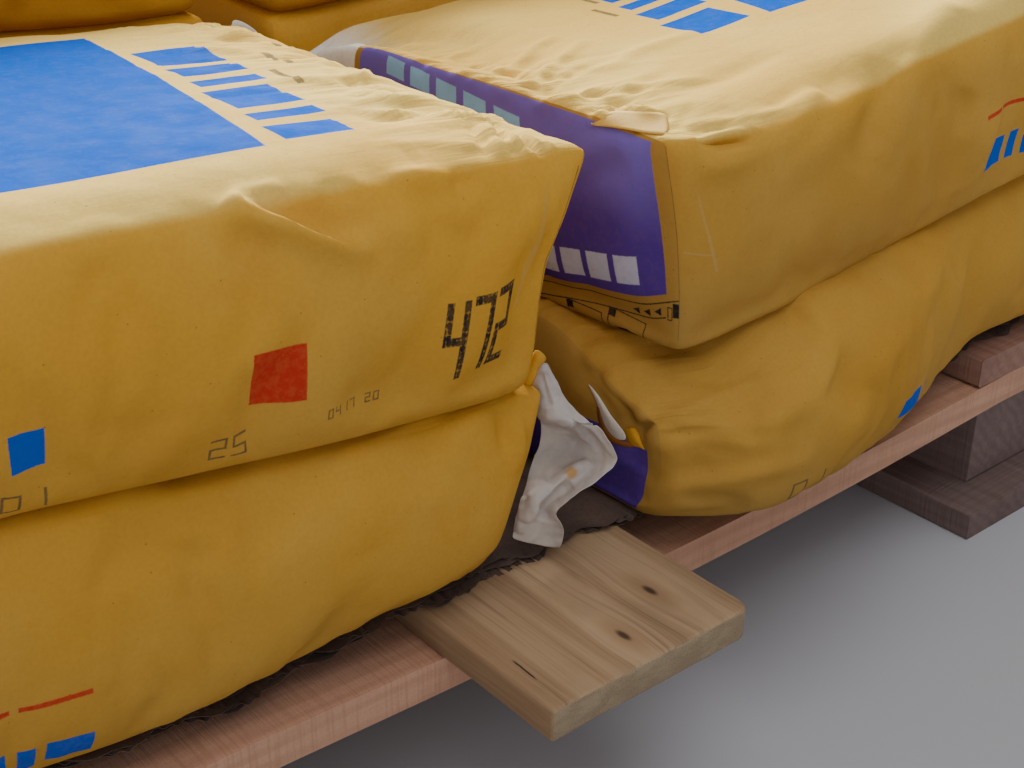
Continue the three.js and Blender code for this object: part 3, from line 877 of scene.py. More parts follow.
def line_distance(points, line):
    """For each point, how far it is from a line of points, on which side, and how far along."""
    best = np.full(len(points), 1e9)
    side = np.zeros(len(points))
    along = np.zeros(len(points))
    lengths = [(b - a).length for a, b in zip(line, line[1:])]
    total = sum(lengths)
    start = 0.0
    for a, b, run in zip(line, line[1:], lengths):
        a, b = np.array(a), np.array(b)
        t = np.clip((points - a) @ (b - a) / run ** 2, 0, 1)
        away = points - (a + t[:, None] * (b - a))
        distance = np.linalg.norm(away, axis=1)
        closer = distance < best
        best = np.where(closer, distance, best)
        side = np.where(closer, away @ across_line(a, b), side)
        along = np.where(closer, (start + t * run) / total, along)
        start += run
    return best, side, along


def across_line(a, b):
    """The direction across a line as the camera sees it, pointing to its right-hand side."""
    sight = np.array(((a + b) / 2) - np.array(CAMERA_PLACE))
    across = np.cross(b - a, sight)
    return across / max(np.linalg.norm(across), 1e-9)


def press_crease(sack, tree, pixels, height, width, kind, taper):
    """Presses one crease along a line that the photograph shows, with its height and width in
    millimetres. A ridge rises or sinks, and a fold rises on one side and sinks on the other. taper:
    the share of its length that fades at each end."""
    height, width = height * MILLIMETRE, width * MILLIMETRE
    line = [hit for hit in (seen_on(tree, pixel) for pixel in pixels) if hit]
    if len(line) < 2:
        return
    points, normals = points_of(sack), normals_of(sack)
    away, side, along = line_distance(points, line)
    ends = np.clip(np.minimum(along, 1 - along) / taper, 0, 1)
    if kind == "ridge":
        push = np.exp(-((away / width) ** 2))
    else:
        push = np.tanh(side / (0.35 * width)) * np.exp(-away / width)
    push = push * height * np.sqrt(ends)
    push[away > 6 * width] = 0
    set_points(sack, points + normals * push[:, None])


def buckle_paper(sack, size):
    """Lets the paper, cut a little too large, buckle over its filling. The underside is held."""
    before = points_of(sack)
    group = sack.vertex_groups.new(name=PAPER_CLOTH["vertex_group_mass"])
    for i, weight in enumerate(hold_weights(sack, size)):
        if weight > 0:
            group.add([i], float(weight), "REPLACE")
    make_active(sack)
    bpy.ops.object.modifier_add(type="CLOTH")
    cloth = sack.modifiers[-1]
    for key, value in PAPER_CLOTH.items():
        setattr(cloth.settings, key, value)
    cloth.settings.effector_weights.gravity = 0
    cloth.collision_settings.use_collision = False
    cloth.collision_settings.use_self_collision = False
    cloth.point_cache.frame_start = 1
    cloth.point_cache.frame_end = BUCKLE_FRAMES
    scene = bpy.context.scene
    for step in range(1, BUCKLE_FRAMES + 1):
        scene.frame_set(step)
    bpy.ops.object.modifier_apply(modifier=cloth.name)
    scene.frame_set(1)
    moved = points_of(sack) - before
    length = np.linalg.norm(moved, axis=1, keepdims=True)
    paper = PAPER_POINTS[sack.name]
    to_faces = np.sort(np.abs(np.concatenate([paper, np.array(size) - paper], 1)))
    from_edge = to_faces[:, 1:2]
    limit = CRISP_LIMIT + (BUCKLE_LIMIT - CRISP_LIMIT) * soft_step(from_edge, 0.0, CRISP_REACH)
    capped = limit * np.tanh(length / limit) / np.maximum(length, 1e-9)
    set_points(sack, before + moved * capped)
    sack.vertex_groups.clear()


def hold_weights(sack, size):
    """1 on the underside, fading out up the sides."""
    height = PAPER_POINTS[sack.name][:, 2] / size[2]
    return soft_step(height, 0.12, 0.0)


def ruffle(obj, name, size, strength):
    """Moves a surface in and out by a cloudy texture."""
    texture = bpy.data.textures.new(name, "CLOUDS")
    texture.noise_scale = size
    apply_modifier(obj, "DISPLACE", texture=texture, strength=strength, mid_level=0.5)


# Each sack's vertices as they lay on the flat block
PAPER_POINTS = {}

# Form of each sack; one without a form of its own has PLAIN_FORM. top and foot: radii of the long edges
# at distances along the sack. ends: radius at the foot and at the top of the low and of the high end.
# lean: how far each end leans towards +X, at the foot, at the top and, on top of that, at the back.
# bulge: how far the long sides draw in above and below. crown: rise of the top's middle. shoulder: how
# far the top's front edge sinks, along X.
PLAIN_FORM = {
    "top": [(0.0, 0.01), (0.25, 0.012), (0.35, 0.012), (0.6, 0.01)],
    "foot": [(0.0, 0.012), (0.3, 0.018), (0.6, 0.012)],
    "ends": [(0.012, 0.008), (0.012, 0.008)],
    "lean": [(0.006, 0.0, 0.0), (-0.006, 0.0, 0.0)],
    "bulge": 0.005,
    "crown": 0.004,
    "shoulder": [(-1.0, 0.0), (1.0, 0.0)],
}
FORMS = {
    "sack_back_left_mid": {"lean": [(0.006, 0.0, 0.0), (0.03, 0.018, -0.02)]},
    "sack_back_left_top": {"lean": [(0.006, 0.0, 0.0), (0.016, 0.0, -0.01)]},
    "sack_back_right_mid": {"lean": [(0.012, 0.016, 0.0), (-0.006, 0.0, 0.0)]},
    "sack_back_right_top": {"lean": [(0.016, 0.016, 0.0), (-0.006, 0.0, 0.0)]},
    "sack_front_left_top": {
        "top": [(0.0, 0.008), (0.35, 0.007), (0.5, 0.005), (0.6, 0.004)],
        "foot": [(0.0, 0.014), (0.1, 0.018), (0.5, 0.018), (0.6, 0.012)],
        "ends": [(0.02, 0.008), (0.012, 0.004)],
        "lean": [(0.012, 0.0, 0.0), (-0.018, 0.004, 0.008)],
        "bulge": 0.006,
        "crown": 0.006,
    },
    "sack_front_right_top": {
        "top": [(0.0, 0.005), (0.07, 0.007), (0.14, 0.012), (0.22, 0.03), (0.6, 0.032)],
        "foot": [(0.0, 0.003), (0.05, 0.005), (0.15, 0.012), (0.6, 0.02)],
        "ends": [(0.004, 0.005), (0.02, 0.02)],
        "lean": [(0.025, 0.013, 0.03), (-0.01, 0.0, 0.0)],
        "bulge": 0.004,
        "crown": 0.006,
    },
    "sack_front_left_low": {
        "top": [(0.0, 0.01), (0.5, 0.01), (0.58, 0.01)],
        "foot": [(0.0, 0.02), (0.1, 0.022), (0.45, 0.026), (0.6, 0.045)],
        "ends": [(0.02, 0.01), (0.045, 0.008)],
        "lean": [(0.01, 0.0, 0.0), (-0.008, 0.008, 0.0)],
        "bulge": 0.006,
        "crown": 0.0,
    },
    "sack_front_right_low": {
        "top": [(0.0, 0.012), (0.08, 0.024), (0.2, 0.03), (0.6, 0.02)],
        "foot": [(0.0, 0.024), (0.05, 0.03), (0.16, 0.03), (0.3, 0.03), (0.6, 0.03)],
        "ends": [(0.006, 0.006), (0.02, 0.02)],
        "lean": [(0.0, -0.002, 0.0), (-0.01, 0.0, 0.0)],
        "bulge": 0.006,
        "crown": 0.0,
        "shoulder": [(0.04, 0.034), (0.09, 0.03), (0.16, 0.0)],
    },
}

# Corners drawn out into ears: (corner of the block, reach, shift)
EARS = {
    "sack_front_right_top": [((0, 1, 1), 0.12, (-0.012, 0.0, -0.024))],
    "sack_front_left_top": [((1, 0, 1), 0.05, (0.013, -0.003, -0.001))],
    "sack_front_left_low": [((1, 0, 1), 0.03, (0.006, -0.002, -0.002))],
    "sack_back_left_top": [
        ((0, 0, 1), 0.05, (-0.004, 0.0, 0.006)),
        ((0, 1, 1), 0.05, (-0.004, 0.002, 0.006)),
    ],
    "sack_back_right_top": [
        ((1, 0, 1), 0.05, (0.004, 0.0, 0.006)),
        ((1, 1, 1), 0.05, (0.004, 0.002, 0.006)),
    ],
}


def sack_size(lie):
    """Length, depth and height of a sack as it lies."""
    left, right = lie.ends_at(0)
    return right - left, SACK_DEPTH, float(np.mean(lie.over - lie.under))


def keep_paper_points(sack):
    """Keeps each vertex's place on the flat block, which later subdivision carries along."""
    paper = sack.data.attributes.new("paper", "FLOAT_VECTOR", "POINT")
    paper.data.foreach_set("vector", points_of(sack).astype(np.float32).ravel())


def paper_points(sack):
    flat = np.empty(len(sack.data.vertices) * 3, np.float32)
    sack.data.attributes["paper"].data.foreach_get("vector", flat)
    return flat.reshape(-1, 3).astype(float)


def pull_corners(points, paper, size, pulls):
    """Draws corners out into pointed ears. Each pull is (corner, reach, shift), the corner as 0 or 1
    along each of the block's edges."""
    for corner, reach, shift in pulls:
        away = np.linalg.norm(paper - np.array(corner) * np.array(size), axis=1)
        points = points + np.clip(1 - away / reach, 0, 1)[:, None] ** 2 * np.array(shift)
    return points


def gather_ends(sack, size, chance):
    """Gathers in the top's paper, running in from both ends and fanning out a little."""
    paper = paper_points(sack)
    normals = normals_of(sack)
    on_top = soft_step(paper[:, 2] / size[2], 0.9, 0.995)
    push = np.zeros(len(paper))
    for _ in range(GATHER_COUNT):
        end = chance.choice((0, 1))
        across = chance.uniform(0.01, size[1] - 0.01)
        heading = chance.gauss(0.0, GATHER_HEADING)
        run = chance.uniform(*GATHER_RUN)
        start = chance.uniform(*GATHER_START)
        width = chance.uniform(*GATHER_WIDTH)
        rise = GATHER_HEIGHT * chance.choice((-1, 1)) * chance.uniform(0.3, 1.0)
        inward = paper[:, 0] if end == 0 else size[0] - paper[:, 0]
        t = (inward - start) * math.cos(heading) + (paper[:, 1] - across) * math.sin(heading)
        away = -(inward - start) * math.sin(heading) + (paper[:, 1] - across) * math.cos(heading)
        taper = np.clip(np.minimum(t / GATHER_TIP, (run - t) / (0.7 * run)), 0, 1)
        push += rise * taper * np.exp(-((away / width) ** 2))
    set_points(sack, points_of(sack) + normals * (push * on_top)[:, None])


def shape_sack(node, cell):
    """One sack as it lies in its stack, with its length, depth and height."""
    lie = Lie(node)
    size = sack_size(lie)
    sack = sack_block("paper_" + node, size, cell)
    PAPER_POINTS[sack.name] = points_of(sack)
    keep_paper_points(sack)
    form = {**PLAIN_FORM, **FORMS.get(node, {})}
    points = round_block(points_of(sack), size, form)
    points = lay_block(points, size, lie, form)
    points = pull_corners(points, PAPER_POINTS[sack.name], size, EARS.get(node, []))
    set_points(sack, points)
    apply_modifier(sack, "SMOOTH", iterations=1, factor=0.5)
    buckle_paper(sack, size)
    return sack, size


# Creases of the four front sacks, each a line of pixels of the photograph with its height and width in
# millimetres
CREASES = {
    "sack_front_left_top": [
        ([(223, 199), (243, 209), (274, 222), (302, 234), (333, 244), (373, 248)], 6.5, 7.2, "ridge"),
        ([(238, 200), (262, 208), (300, 222), (340, 230), (372, 232)], -6.5, 9, "ridge"),
        ([(241, 195), (250, 191), (264, 189), (284, 187)], 2, 4, "ridge"),
        ([(317, 188), (339, 192), (358, 186)], -2, 6, "ridge"),
        ([(389, 178), (419, 176), (442, 179), (455, 182)], 2, 5, "ridge"),
        ([(448, 184), (470, 181), (483, 176)], -2, 5, "ridge"),
        ([(380, 218), (400, 228), (425, 240)], 2, 10, "ridge"),
        ([(430, 205), (450, 214), (475, 222)], 1.5, 8, "ridge"),
        ([(401, 140), (417, 160), (437, 176)], 0.8, 2.2, "fold"),
        ([(465, 117), (478, 138), (488, 160)], -1.4, 2.6, "ridge"),
        ([(483, 125), (493, 141), (503, 157)], 2.2, 3.5, "ridge"),
        ([(491, 123), (503, 139), (514, 154)], -1.8, 3, "ridge"),
        ([(500, 128), (516, 143), (535, 158)], 2.2, 3.5, "ridge"),
        ([(512, 132), (530, 146), (548, 157)], -1.6, 3, "ridge"),
        ([(527, 136), (545, 146), (560, 152)], 1.6, 3, "ridge"),
        ([(343, 53), (378, 72), (401, 82)], 2, 6, "ridge"),
        ([(328, 71), (360, 84), (395, 92)], -1.6, 6, "ridge"),
        ([(353, 89), (400, 100), (440, 106)], 1.8, 6, "ridge"),
        ([(330, 100), (372, 116), (420, 122)], -1.2, 8, "ridge"),
        ([(558, 178), (553, 200), (549, 229), (546, 262)], 1.2, 3, "fold"),
        ([(529, 198), (534, 242), (521, 300)], 1.2, 6, "ridge"),
    ],
    "sack_front_right_top": [
        ([(697, 139), (722, 142), (750, 140), (757, 131)], -4.5, 4.5, "ridge"),
        ([(697, 168), (735, 162), (758, 144)], 3, 7, "ridge"),
        ([(700, 124), (722, 123), (735, 123), (755, 118), (781, 113), (819, 93)], 2, 4, "ridge"),
        ([(819, 93), (800, 118), (780, 140), (755, 150)], 3, 8, "ridge"),
        ([(880, 80), (837, 123), (800, 156), (770, 180)], 3, 12, "ridge"),
        ([(895, 70), (875, 120), (855, 170)], -4, 13, "ridge"),
        ([(915, 60), (895, 115), (880, 165)], 2, 10, "ridge"),
        ([(970, 90), (960, 140), (955, 190)], -4, 14, "ridge"),
        ([(945, 0), (920, 60), (880, 130)], 3, 12, "ridge"),
        ([(1005, 60), (995, 110), (985, 160)], 2, 12, "ridge"),
        ([(590, 122), (600, 114), (607, 111), (638, 111), (667, 113)], 2.2, 3, "ridge"),
        ([(651, 128), (660, 121), (669, 114)], -1.6, 2.6, "ridge"),
        ([(570, 160), (600, 145), (640, 140)], 1.5, 8, "ridge"),
        ([(560, 200), (590, 175), (625, 160)], -1.5, 8, "ridge"),
        ([(700, 345), (720, 338), (740, 328)], -1, 4, "ridge"),
        ([(600, 72), (640, 50), (700, 30)], 1.4, 6, "ridge"),
        ([(640, 100), (700, 84), (780, 50)], -1.4, 8, "ridge"),
        ([(470, 86), (495, 74), (519, 63), (557, 35)], 1.8, 3.5, "ridge"),
        ([(482, 88), (510, 76), (540, 56)], -1.8, 3.5, "ridge"),
        ([(500, 96), (530, 84), (560, 62), (585, 40)], 1.8, 4, "ridge"),
        ([(520, 102), (548, 92), (590, 66)], -1.6, 4, "ridge"),
        ([(430, 74), (455, 58), (480, 44)], 1.6, 3.5, "ridge"),
        ([(545, 108), (575, 98), (610, 84)], 1.6, 4, "ridge"),
    ],
    "sack_front_left_low": [
        ([(498, 388), (515, 400), (530, 398)], 2, 4, "ridge"),
        ([(500, 405), (503, 430), (506, 455)], -2.5, 4, "ridge"),
        ([(515, 410), (519, 440), (518, 470)], 2.5, 4, "ridge"),
        ([(480, 400), (460, 430), (450, 470)], 1.8, 10, "ridge"),
        ([(420, 420), (430, 460), (425, 500)], -1.5, 14, "ridge"),
        ([(330, 460), (360, 500), (370, 550)], 1.4, 14, "ridge"),
        ([(525, 395), (529, 430), (526, 480)], 1.2, 3, "fold"),
    ],
    "sack_front_right_low": [
        ([(1024, 288), (1012, 306), (1000, 325), (985, 345)], 3, 5, "fold"),
        ([(636, 430), (650, 424), (662, 419)], -2.5, 3, "ridge"),
        ([(668, 416), (696, 407), (734, 391), (780, 372)], 2, 5, "ridge"),
        ([(650, 434), (690, 430), (760, 420)], -1.4, 6, "ridge"),
        ([(647, 448), (688, 440), (760, 422), (820, 405)], 1.6, 7, "ridge"),
        ([(645, 491), (688, 484), (760, 472), (820, 455)], 1.8, 6, "ridge"),
        ([(648, 480), (700, 470), (770, 452)], -1.4, 8, "ridge"),
        ([(626, 375), (660, 365), (700, 362)], 1.4, 10, "ridge"),
        ([(605, 372), (615, 395), (622, 415)], 1.4, 6, "ridge"),
        ([(640, 400), (642, 412), (638, 426)], 1.4, 4, "ridge"),
        ([(900, 330), (880, 360), (870, 390)], 1.6, 12, "ridge"),
        ([(950, 290), (930, 330), (915, 370)], -1.6, 14, "ridge"),
    ],
}

# Small loose flaps: a white leaf and its brown rim in a slit of the low right sack, the folded corner
# beside it, the fold over the end of the top right sack, the torn tip behind the top left sack and a
# crumpled corner of the low left sack.
# Rows of pixels of the photograph, with how many millimetres each stands off the sack or its plane.
WHITE_LEAF = [
    [(588, 383, 0.8), (589, 385, 1), (591, 386, 0.8)],
    [(594, 396, 0.8), (597, 396, 2), (600, 397, 0.8)],
    [(599, 409, 0.8), (604, 410, 3), (609, 413, 0.8)],
    [(602, 422, 0.8), (610, 423, 3.5), (618, 424, 0.8)],
    [(608, 433, 0.8), (617, 433, 3), (626, 434, 0.8)],
    [(618, 440, 0.8), (622, 440, 1.5), (626, 440, 0.8)],
]
BROWN_RIM = [
    [(597, 405, 0.4), (598, 406, 1.6), (600, 408, 0.4)],
    [(598, 416, 0.4), (600, 416, 2.2), (603, 416, 0.4)],
    [(600, 428, 0.4), (603, 428, 2.2), (607, 427, 0.4)],
    [(606, 439, 0.4), (610, 438, 2.2), (614, 436, 0.4)],
    [(617, 446, 0.4), (621, 444, 2), (625, 441, 0.4)],
    [(633, 448, 0.4), (634, 446, 1.4), (635, 445, 0.4)],
]
FOLDED_CORNER = [
    [(625, 429, 0.4), (631, 427, 3), (637, 428, 0.5)],
    [(626, 436, 0.4), (633, 434, 5), (640, 436, 0.8)],
    [(628, 442, 0.4), (635, 441, 4.5), (642, 444, 0.8)],
    [(634, 447, 0.4), (641, 447, 2), (646, 452, 0.4)],
]
END_FOLD = [
    [(590, 123, 0.4), (607, 111, 1.2), (623, 111, 1.4), (638, 112, 1.4), (652, 112, 1.4), (667, 113, 0.6)],
    [(592, 125, 1.2), (608, 118, 2.6), (624, 119, 3), (639, 121, 2.8), (654, 122, 2), (669, 124, 0.8)],
    [(595, 126, 1), (609, 127, 2.2), (624, 129, 3), (640, 132, 2.8), (655, 134, 2), (668, 135, 0.8)],
]
TORN_TIP = [
    [(233, 20, 1), (238, 20, 1.5), (247, 24, 1), (255, 30, 0.5)],
    [(232, 24, 1), (238, 24, 2.5), (247, 27, 2), (257, 32, 0.5)],
    [(230, 31, 0), (238, 31, 1), (248, 33, 1), (259, 36, 0)],
]
CRUMPLED_CORNER = [
    [(535, 349, 4), (541, 351, 8), (547, 358, 4)],
    [(532, 356, 6), (538, 358, 11), (545, 362, 6)],
    [(529, 363, 5), (534, 365, 9), (538, 367, 6)],
    [(526, 372, 6), (531, 374, 10), (536, 378, 6)],
    [(523, 382, 4), (527, 384, 7), (530, 387, 4)],
    [(519, 389, 1), (522, 391, 3), (525, 392, 1)],
]

# Flaps of each sack: name, rows, colour, whether the rows lie on the sack, and the plane, as a point
# and a direction, for what doesn't lie on it
SLIT_PLANE = ((0.044, -0.33, 0.19), (1, 0, 0))
FLAPS = {
    "sack_front_right_low": [
        ("slit_rim", BROWN_RIM, BROWN_PLY, True, SLIT_PLANE),
        ("slit_leaf", WHITE_LEAF, WHITE_PLY, True, SLIT_PLANE),
        ("folded_corner", FOLDED_CORNER, YELLOW, True, SLIT_PLANE),
    ],
    # The fold over the top right sack's end is painted paler than the sack's yellow: a painted highlight on
    # the lit fold.
    "sack_front_right_top": [("end_fold", END_FOLD, YELLOW_PALE, True, ((0.05, -0.34, 0.37), (0, 0, 1)))],
    "sack_front_left_top": [("torn_tip", TORN_TIP, WHITE_PALE, False, ((-0.3, -0.03, 0.36), (0, 1, 0)))],
    "sack_front_left_low": [
        ("crumpled_corner", CRUMPLED_CORNER, YELLOW, False, (PAPER_PLANE_POINT, PAPER_PLANE_NORMAL)),
    ],
}

# How much painted shade greys and darkens each sack's upright sides
PAINTED_SHADE_AMOUNTS = {
    "sack_front_left_top": 0.08,
    "sack_front_left_low": 0.16,
    "sack_front_right_top": 0.3,
    "sack_front_right_low": 0.32,
    "sack_back_left_low": 0.1,
    "sack_back_left_mid": 0.04,
    "sack_back_left_top": 0.02,
    "sack_back_right_low": 0.1,
    "sack_back_right_mid": 0.04,
    "sack_back_right_top": 0.02,
}
PRINTS = {
    "sack_front_left_top": left_top_prints,
    "sack_front_left_low": left_low_prints,
    "sack_front_right_top": right_top_prints,
    "sack_front_right_low": right_low_prints,
}


def flap(tree, name, rows, colour, on_sack, plane):
    """A small piece of paper, placed along sight lines of the photograph."""
    def place(pixel, proud):
        hit = seen_on(tree, pixel) if on_sack else None
        return (hit or sight_point(pixel, *plane, 0)) - sight_line(pixel) * proud

    sheet = loft_paper(name, rows, place, 2)
    apply_modifier(sheet, "SOLIDIFY", thickness=PLY_THICK, offset=0)
    sheet.data.materials.append(plain_ply(name + "_ply", colour))
    return sheet


def add_flaps(node, sack):
    """Loose flaps of a sack, joined to it."""
    tree = surface_of(sack)
    flaps = [flap(tree, *each) for each in FLAPS[node]]
    make_active(sack)
    for sheet in flaps:
        sheet.select_set(True)
    bpy.ops.object.join()


def plain_ply(name, colour):
    """Unprinted paper of a torn or folded edge."""
    recipe = Recipe(name, colour, roughness=0.7, specular=0.15)
    recipe.lay(recipe.ramp(recipe.noise(600, 3, 0.7), 0.35, 0.8, 0, 0.35), tuple(c * 0.6 for c in colour))
    return recipe.finish(recipe.bump(recipe.noise(160, 4, 0.65), 0.0006, 0.5))


def add_sacks():
    for number, node in enumerate(SACK_NODES):
        in_front = "front" in node
        on_top = "top" in node
        chance = random.Random(number + 5)
        sack, size = shape_sack(node, FRONT_CELL if in_front else BACK_CELL)
        ruffle(sack, sack.name + "_swell", SWELL_SIZE, SWELL)
        if in_front or on_top:
            apply_modifier(sack, "SUBSURF", levels=1, render_levels=1)
            gather_ends(sack, size, chance)
        if in_front:
            tree = surface_of(sack)
            for pixels, height, width, kind in CREASES[node]:
                press_crease(sack, tree, pixels, height * CREASE_DEPTH, width, kind, CREASE_TAPER)
        prints = PRINTS[node]() if in_front else back_prints(size[2])
        # The far top corner of the top right sack is painted near-white, partly pale worn paper and partly a
        # painted highlight.
        pale_and_lit_corner = (0.0, size[2] + SACK_DEPTH, 0.13) if node == "sack_front_right_top" else None
        paper_name = "paper_of_" + node.removeprefix("sack_")
        paper = sack_paper(paper_name, prints, size[2], on_top, pale_and_lit_corner, PAINTED_SHADE_AMOUNTS[node])
        sack.data.attributes.remove(sack.data.attributes["paper"])
        sack.data.materials.clear()
        sack.data.materials.append(paper)
        if in_front:
            add_flaps(node, sack)
        make_active(sack)
        bpy.ops.object.shade_smooth()
        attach(sack, "root")
        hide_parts(node)


def add_pallet_finishes():
    kinds = {"stringer": "stringer", "deck_board": "deck_board", "bottom_board": "foot", "block": "foot"}
    timber = {kind: sawn_timber(kind) for kind in TIMBERS}
    for node, obj in nodes.items():
        for start, kind in kinds.items():
            if node.startswith(start):
                obj.data.materials.clear()
                obj.data.materials.append(timber[kind])


# Loose plank
def add_plank():
    low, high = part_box("loose_plank")
    corners = points_of(nodes["loose_plank"])
    foot_left = corners[corners[:, 0] < low.x + 0.002][:, 2].min()
    foot_right = corners[corners[:, 0] > high.x - 0.002][:, 2].min()
    width, length, thickness = high.x - low.x, high.y - low.y, high.z - foot_left
    middle = ((low.x + high.x) / 2, (low.y + high.y) / 2, thickness / 2)

    def right_front(edge):
        halfway = (edge.verts[0].co + edge.verts[1].co) / 2
        upright = abs(edge.verts[0].co.z - edge.verts[1].co.z) > 0.5 * thickness
        return upright and halfway.x > middle[0] and halfway.y < 0

    plank = add_block("plank", middle, (width, length, thickness))
    select_edges(right_front)
    bpy.ops.mesh.bevel(offset=PLANK_WORN_CORNER, segments=5)
    bpy.ops.object.mode_set(mode="OBJECT")
    apply_modifier(plank, "BEVEL", width=PLANK_EASE, segments=3, limit_method="ANGLE")
    bpy.ops.object.mode_set(mode="EDIT")
    for i in range(1, PLANK_CUTS_ALONG):
        cut_all((0, low.y + length * i / PLANK_CUTS_ALONG, 0), (0, 1, 0))
    for i in range(1, PLANK_CUTS_ACROSS):
        cut_all((low.x + width * i / PLANK_CUTS_ACROSS, 0, 0), (1, 0, 0))
    bpy.ops.object.mode_set(mode="OBJECT")
    ruffle(plank, "plank_weathering", 0.03, 0.0008)
    points = points_of(plank)
    points[:, 2] += foot_left + (points[:, 0] - low.x) * (foot_right - foot_left) / width
    set_points(plank, points)
    make_active(plank)
    bpy.ops.object.shade_smooth_by_angle(angle=math.radians(40))
    plank.data.materials.append(plank_timber(foot_left + thickness))
    plank.data.materials.append(plank_end_timber())
    for face in plank.data.polygons:
        if abs(face.normal.y) > 0.8:
            face.material_index = 1
    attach(plank, "root")
    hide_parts("loose_plank")


PLANK_FACE = srgb(176, 146, 112)
PLANK_STREAK = srgb(144, 114, 84)
PLANK_LINE = srgb(116, 88, 66)
PLANK_FIBRE = srgb(186, 158, 124)
PLANK_STAIN = srgb(132, 112, 84)
KNOT_HALO = srgb(128, 94, 60)
KNOT_CORE = srgb(58, 42, 32)
CRACK_DARK = srgb(40, 32, 26)


def plank_timber(top):
    """Treated softwood with its grain along the plank, bent round the knots of its top."""
    recipe = Recipe("plank_face", PLANK_FACE, roughness=0.8, specular=0.25)
    x, y, z = recipe.split(recipe.coords)
    bend, halo, spot = 0.0, 0.0, 0.0
    for kx, ky, radius in PLANK_KNOTS:
        from_knot = recipe.vector("SUBTRACT", recipe.coords, (kx, ky, top))
        away = recipe.vector("LENGTH", recipe.vector("MULTIPLY", from_knot, (1, 0.42, 0)))
        push = recipe.ramp(away, radius * 0.4, radius * 6, 1.0, 0.0)
        bend = recipe.math("ADD", bend, recipe.times(recipe.math("SUBTRACT", x, kx), push))
        halo = recipe.math("MAXIMUM", halo, recipe.ramp(away, radius * 0.5, radius * 3, 1.0, 0.0))
        spot = recipe.math("MAXIMUM", spot, recipe.ramp(away, radius * 0.25, radius * 0.8, 1.0, 0.0))
    wander = recipe.times(recipe.math("SUBTRACT", recipe.noise(3.2, 2), 0.5), 0.008)
    across = recipe.math("ADD", recipe.scaled_sum(bend, -0.6, x), wander)
    grain = {0: across, 1: recipe.times(y, 0.018), 2: recipe.times(z, 0.4)}
    lines = recipe.add("CombineXYZ", grain).outputs[0]
    fine = recipe.noise(420, 3, 0.6, lines)
    fibre = recipe.noise(1200, 2, 0.6, lines)
    crack = short_crack(recipe, PLANK_CRACK, PLANK_CRACK_HALF_WIDTH)
    recipe.lay(recipe.ramp(recipe.noise(75, 3, 0.55, lines), 0.42, 0.62, 0, 0.7), PLANK_STREAK)
    recipe.lay(recipe.ramp(fine, 0.5, 0.72, 0, 0.5), PLANK_LINE)
    recipe.lay(recipe.ramp(fibre, 0.35, 0.7, 0, 0.25), PLANK_FIBRE)
    recipe.lay(recipe.ramp(recipe.noise(9, 4, 0.6), 0.45, 0.7, 0, 0.35), PLANK_STAIN)
    recipe.lay(recipe.times(halo, 0.5), KNOT_HALO)
    recipe.lay(recipe.times(spot, 0.9), KNOT_CORE)
    recipe.lay(recipe.times(crack, 0.85), CRACK_DARK)
    height = recipe.scaled_sum(fine, 0.5, recipe.times(fibre, 0.4))
    height = recipe.scaled_sum(crack, -1.2, height)
    return recipe.finish(recipe.bump(height, 0.0009, 0.7), recipe.ramp(fine, 0.2, 0.8, 0.7, 0.9))


def short_crack(recipe, ends, half_width):
    """1 along a short straight crack in a level face, from one point to the other."""
    (ax, ay), (bx, by) = ends
    length = math.hypot(bx - ax, by - ay)
    centre = ((ax + bx) / 2, (ay + by) / 2, 0)
    turn = math.atan2(by - ay, bx - ax)
    local = recipe.vector("SUBTRACT", recipe.coords, centre)
    along, across = recipe.split(recipe.stretched((1, 1, 1), local, (0, 0, -turn)))[:2]
    wobble = recipe.scaled_sum(recipe.noise(160, 3), 0.0012, -0.0006)
    across = recipe.math("ABSOLUTE", recipe.math("ADD", across, wobble))
    thin = recipe.ramp(across, half_width * 0.3, half_width, 1, 0)
    return recipe.times(thin, recipe.ramp(recipe.math("ABSOLUTE", along), length * 0.3, length * 0.5, 1, 0))


def plank_end_timber():
    recipe = Recipe("plank_end_grain", srgb(168, 148, 120), roughness=0.9, specular=0.15)
    rings = recipe.noise(70, 3, 0.5, recipe.stretched((1, 0.02, 2.4), turn=(0, 0.35, 0)))
    pores = recipe.noise(900, 3, 0.7)
    recipe.lay(recipe.ramp(rings, 0.35, 0.65, 0, 0.5), srgb(140, 118, 92))
    recipe.lay(recipe.ramp(pores, 0.45, 0.75, 0, 0.5), srgb(104, 86, 70))
    return recipe.finish(recipe.bump(recipe.scaled_sum(pores, 0.8, recipe.times(rings, 0.3)), 0.001, 0.8))


